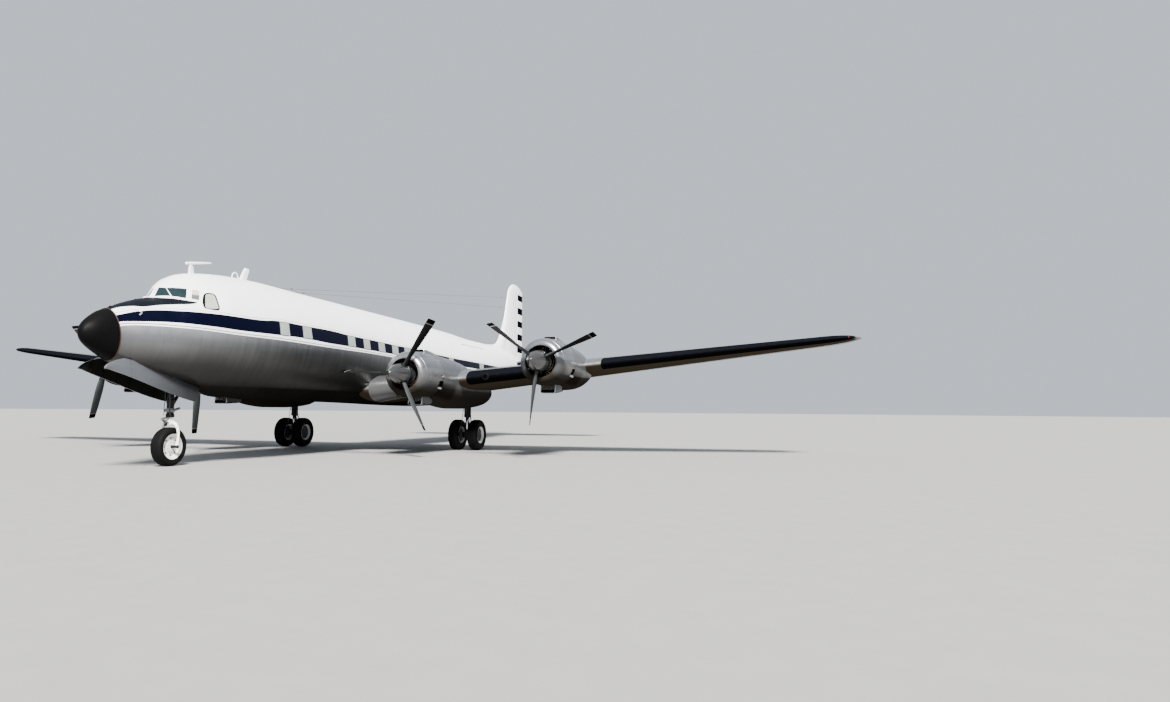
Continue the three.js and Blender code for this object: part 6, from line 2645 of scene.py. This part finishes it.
        # The doors' insides take the dark well finish, a painted shade.
        Bench.paint(leaf, 1, lambda c, n: n.x < -0.3)
        parts = [leaf]
        for s in spread(0.75, 3.25, 7):
            high, bottom = top.at(s) - 0.02, low.at(s) + 0.03
            spine = [(0.352 + self.hang[1] * (high - z), along(s), z) for z in spread(high, bottom, 5)]
            rib = Bench.pipe("door_rib", spine, 0.014, 8)
            parts.append(Bench.dress(rib, *coats))
            Bench.paint(rib, 1)
        for s in (1.3, 2.1, 2.9):
            high = top.at(s)
            arm = Bench.pipe(
                "door_arm",
                [
                    (0.365, along(s), high - 0.06), (0.35, along(s), high + 0.03),
                    (0.33, along(s), high + 0.12)
                ],
                0.018, 10
            )
            parts.append(Bench.dress(arm, *coats))
            Bench.paint(arm, 2)
        edge = [s for s in stations if 1.09 <= s <= 3.44]
        seat = Bench.loft(
            "door_seat",
            [
                [
                    (0.362, along(s), top.at(s) + 0.20), (0.385, along(s), top.at(s) + 0.20),
                    (0.385, along(s), top.at(s) - 0.002), (0.362, along(s), top.at(s) - 0.002)
                ]
                for s in edge
            ]
        )
        Bench.dress(seat, *coats)
        Bench.paint(seat, 1)
        door = Bench.join("nose_door_port_skin", [*parts, seat])
        Bench.deliver_pair(door, "airframe", "bare_metal", "nose_door_port")


DOOR_METAL = DoorMetal("door_metal", (0.105, 0.110, 0.122), 0.38, 0.5, (2.0, 3.0), 0.05)


@dataclass
class Tail:
    """The fin with its fillet, the rudder, the tailplanes and the elevators.

    Attributes:
        root: the station and height where the fin's leading edge starts.
        sweep: how far it moves aft a metre up.
        hinge: the rudder hinge's station.
        aft: the rudder's trailing edge.
        tip: the fin's height.
        foot: the height of the rudder's foot.
        head: the height of its head.
        round_start: the height from which the fin's top is rounded.
        least_chord: the chord at the very tips of the fin and the tailplane.
        thickness: the fin's thickness as a share of its chord.
        plane_z: the tailplane's height.
        plane_hinge: the elevators' hinge's station.
        plane_lead: the tailplane's leading edge: its station at the middle and its move aft a metre out.
        plane_aft: its trailing edge: the station at the middle and its move forward a metre out.
        plane_tip: where the tip starts to round off and how long the round is.
        plane_thickness: its thickness as a share of its chord.
        elevator: the distances out of an elevator's ends.
    """

    root: Pair = (26.845, 4.65)
    sweep: float = 0.334
    hinge: float = 29.45
    aft: float = 30.43
    tip: float = 8.63
    foot: float = 4.26
    head: float = 8.33
    round_start: float = 8.05
    least_chord: float = 0.15
    thickness: float = 0.10
    plane_z: float = 4.02
    plane_hinge: float = 29.95
    plane_lead: Pair = (27.5, 0.19)
    plane_aft: Pair = (31.05, 0.045)
    plane_tip: Pair = (5.4, 0.62)
    plane_thickness: float = 0.11
    elevator: Pair = (0.56, 5.75)

    def fin_ring(self, z: float) -> Ring:
        """The fin's section at a height."""
        reach = min(1.0, max(0.0, (z - self.round_start) / (self.tip - self.round_start)))
        lead0 = self.root[0] + self.sweep * (z - self.root[1])
        chord0 = self.aft - lead0
        chord = max(self.least_chord, chord0 * math.sqrt(1 - reach**2))
        lead = lead0 + (chord0 - chord) * 0.38
        return [(up, along(lead + aft), z) for aft, up in Aerofoil.section(chord, self.thickness)]

    def fin_half(self, z: float) -> float:
        """Half the fin's thickness at the rudder's hinge."""
        lead = self.root[0] + self.sweep * (z - self.root[1])
        chord = self.aft - lead
        return Aerofoil.half((self.hinge - lead) / chord) * self.thickness * chord

    def plane_at(self, x: float) -> Pair:
        """The tailplane's leading edge and chord at a distance out."""
        lead = self.plane_lead[0] + self.plane_lead[1] * x
        return lead, self.plane_aft[0] - self.plane_aft[1] * x - lead

    def plane_ring(self, x: float) -> Ring:
        """The tailplane's section at a distance out."""
        lead0, chord0 = self.plane_at(x)
        reach = min(1.0, max(0.0, (x - self.plane_tip[0]) / self.plane_tip[1]))
        chord = max(self.least_chord, chord0 * math.sqrt(1 - reach**2))
        lead = lead0 + (chord0 - chord) * 0.45
        section = Aerofoil.section(chord, self.plane_thickness)
        return [(x, along(lead + aft), self.plane_z + up) for aft, up in section]

    def plane_half(self, x: float) -> float:
        """Half the tailplane's thickness at the elevator's hinge."""
        lead, chord = self.plane_at(x)
        return Aerofoil.half((self.plane_hinge - lead) / chord) * self.plane_thickness * chord

    def build(self) -> None:
        """Builds the tail."""
        self.upright()
        self.level()

    def upright(self) -> None:
        """The fin, its fillet and the rudder."""
        heights = [4.2, 4.8, 5.4, 6.2, 7.0, 7.7, 8.05, 8.2, 8.3, 8.4, 8.48, 8.54, 8.59, 8.615, self.tip]
        fin = Bench.loft("fin_blade", [self.fin_ring(z) for z in heights])
        foot = Vector((0, along(self.hinge), self.foot + 0.04))
        head = Vector((0, along(self.hinge), self.head))
        rudder = HingeLine(
            foot, head, (self.fin_half(self.foot) - 0.006, self.fin_half(self.head) - 0.006),
            (self.aft - self.hinge + 0.04, self.aft - self.hinge - 0.06),
        )
        Bench.carve(fin, rudder.gap("rudder_gap", 1.5, 2.0))
        Bench.carve(
            fin,
            Bench.block(
                "fin_heel", (-0.6, along(self.hinge - 0.22), 3.5), (0.6, along(LENGTH), self.foot + 0.06)
            )
        )
        Bench.tidy(fin)
        paint = TailPaint("tail_white")
        Bench.dress(fin, paint)
        fillet = Bench.loft("fin_fillet", self.fillet_rings())
        Bench.dress(fillet, paint)
        whole = Bench.join("fin_skin", [fin, fillet])
        Bench.deliver(whole, "airframe", "white_skin", "fin")
        blade = rudder.surface("rudder_skin", 14)
        bars = ((7.76, 8.11), (6.985, 7.36), (6.24, 6.60), (5.48, 5.845), (4.77, 5.10), (4.0, 4.32))
        Bench.dress(blade, TailPaint("rudder_bars", bars))
        Bench.deliver(blade, "rudder", "white_skin", "rudder")

    @staticmethod
    def fillet_rings() -> list[Ring]:
        """The sections of the fillet that leads up to the fin."""
        rows = (
            (24.3, 0.04, 4.87), (25.6, 0.09, 4.925), (26.15, 0.13, 5.02), (26.5, 0.16, 5.21),
            (26.9, 0.18, 5.62), (27.2, 0.17, 6.10), (27.48, 0.14, 6.62)
        )
        wide, ridge = FairLine.columns(rows)
        rings = []
        for s in [
            24.3, 24.7, 25.1, 25.6, 25.9, 26.15, 26.35, 26.5, 26.65, 26.8, 26.9, 27.0, 27.1, 27.2, 27.3,
            27.4, 27.48
        ]:
            top, half = ridge.at(s), wide.at(s)
            port = []
            for t in spread(0.0, 1.0, 8):
                z = mix(4.4, top, t)
                near = min(1.0, max(0.0, (top - z) / 0.45))
                port.append((0.012 + (half - 0.012) * math.sqrt(near), along(s), z))
            rings.append(port + [(-x, y, z) for x, y, z in reversed(port)])
        return rings

    def level(self) -> None:
        """The tailplanes and elevators."""
        outs = [0.15, 1.0, 2.0, 3.2, 4.4, 5.4, 5.6, 5.75, 5.86, 5.95, 6.0, 6.02]
        plane = Bench.loft("tailplane_port_skin", [self.plane_ring(x) for x in outs])
        start, end = (Vector((x, along(self.plane_hinge), self.plane_z)) for x in self.elevator)
        noses = tuple(self.plane_half(x) - 0.006 for x in self.elevator)
        line = HingeLine(start, end, noses, (1.06, 0.80))
        Bench.carve(plane, line.gap("elevator_gap", 1.8, 0.9))
        heel = Bench.block(
            "plane_heel", (-0.1, along(self.plane_hinge - 0.15), 3.0), (0.58, along(LENGTH), 5.0)
        )
        Bench.carve(plane, heel)
        Bench.tidy(plane)
        level = {"lead": self.plane_lead, "rise": (self.plane_z, 0.0, 0.0)}
        paint = WingPaint(
            "tailplane_metal", (0.26, 0.265, 0.275), 0.34, reach=0.12, bare=((0.0, 0.7),), **level
        )
        Bench.dress(plane, paint)
        Bench.deliver_pair(plane, "airframe", "bare_metal", "tailplane_port")
        port = line.surface("elevator_port")
        starboard = Bench.mirrored(port, "elevator_starboard")
        tube = Bench.rod(
            "elevator_tube", (-0.62, start.y, start.z), (0.62, start.y, start.z), 0.037, sides=24
        )
        both = Bench.join("elevators_skin", [port, starboard, tube])
        Bench.dress(
            both,
            WingPaint("elevator_metal", (0.24, 0.245, 0.255), 0.4, 0.8, (0.5, 2.0), reach=-1.0, **level)
        )
        Bench.deliver(both, "elevators", "bare_metal", "elevators")


@dataclass
class Studio:
    """The pale floor, the soft light and the camera.

    Attributes:
        place: the camera's place.
        yaw: how far it is turned to port of straight aft, in degrees.
        pitch: how far it looks up.
        roll: how far it leans.
        lens: its focal length on a 36 mm wide frame.
        sun: where the sun stands, as a direction.
        sun_energy: how bright it is.
        sky: the sky's colour.
        floor_radius: how far the floor reaches.
    """

    place: Point = (16.147, -31.394, 1.553)
    yaw: float = 15.068
    pitch: float = 4.029
    roll: float = 0.4246
    lens: float = 25.51
    sun: Point = (0.38, -0.66, 0.72)
    sun_energy: float = 20.0
    sky: Point = (0.70, 0.76, 0.84)
    floor_radius: float = 400.0

    def build(self) -> None:
        """Builds all three."""
        self.floor()
        self.light()
        self.camera()

    def floor(self) -> None:
        """A wide pale floor."""
        Bench.clear()
        bpy.ops.mesh.primitive_circle_add(
            vertices=96, radius=self.floor_radius, fill_type="NGON", location=(0, 0, -0.004)
        )
        floor = Bench.named("studio_floor")
        bpy.ops.object.transform_apply(location=True, rotation=True, scale=True)
        Bench.dress(
            floor,
            PlainFinish(
                "floor_pale", (0.25, 0.25, 0.246), 0.8, 0.0, (0.21, 0.21, 0.206), 0.4, 3.0, 0.002, 0.2
            )
        )

    def light(self) -> None:
        """A soft high sun before a pale sky."""
        world = bpy.data.worlds.new("studio_sky")
        bpy.context.scene.world = world
        world.use_nodes = True
        sky = world.node_tree.nodes["Background"]
        sky.inputs[0].default_value = (*self.sky, 1.0)
        sky.inputs[1].default_value = 1.0
        Bench.clear()
        bpy.ops.object.light_add(type="SUN", location=(30, -40, 60))
        sun = bpy.context.object
        sun.name = "studio_sun"
        sun.data.energy = self.sun_energy
        sun.data.angle = math.radians(12)
        sun.data.color = (1.0, 0.97, 0.92)
        sun.rotation_euler = Vector(self.sun).to_track_quat("Z", "Y").to_euler()

    def camera(self) -> None:
        """The camera, where the picture was taken from."""
        yaw, pitch, roll = (math.radians(a) for a in (self.yaw, self.pitch, self.roll))
        ahead = Vector((-math.sin(yaw) * math.cos(pitch), math.cos(yaw) * math.cos(pitch), math.sin(pitch)))
        right = Vector((math.cos(yaw), math.sin(yaw), 0.0))
        up = right.cross(ahead)
        across = right * math.cos(roll) + up * math.sin(roll)
        above = up * math.cos(roll) - right * math.sin(roll)
        Bench.clear()
        bpy.ops.object.camera_add(location=self.place)
        camera = bpy.context.object
        camera.name = "camera"
        camera.rotation_euler = Matrix((across, above, -ahead)).transposed().to_euler()
        camera.data.lens = self.lens
        camera.data.sensor_width = 36.0
        camera.data.clip_end = 2000.0
        bpy.context.scene.camera = camera


def main() -> None:
    """Builds every piece and the studio around them."""
    logging.basicConfig(level=logging.INFO, format="%(name)s: %(message)s")
    for maker in (Fuselage(), Wing(), Engines(), MainGear(), NoseGear(), Tail(), Studio()):
        maker.build()
        LOG.info("%s done", type(maker).__name__)


if __name__ == "__main__":
    main()
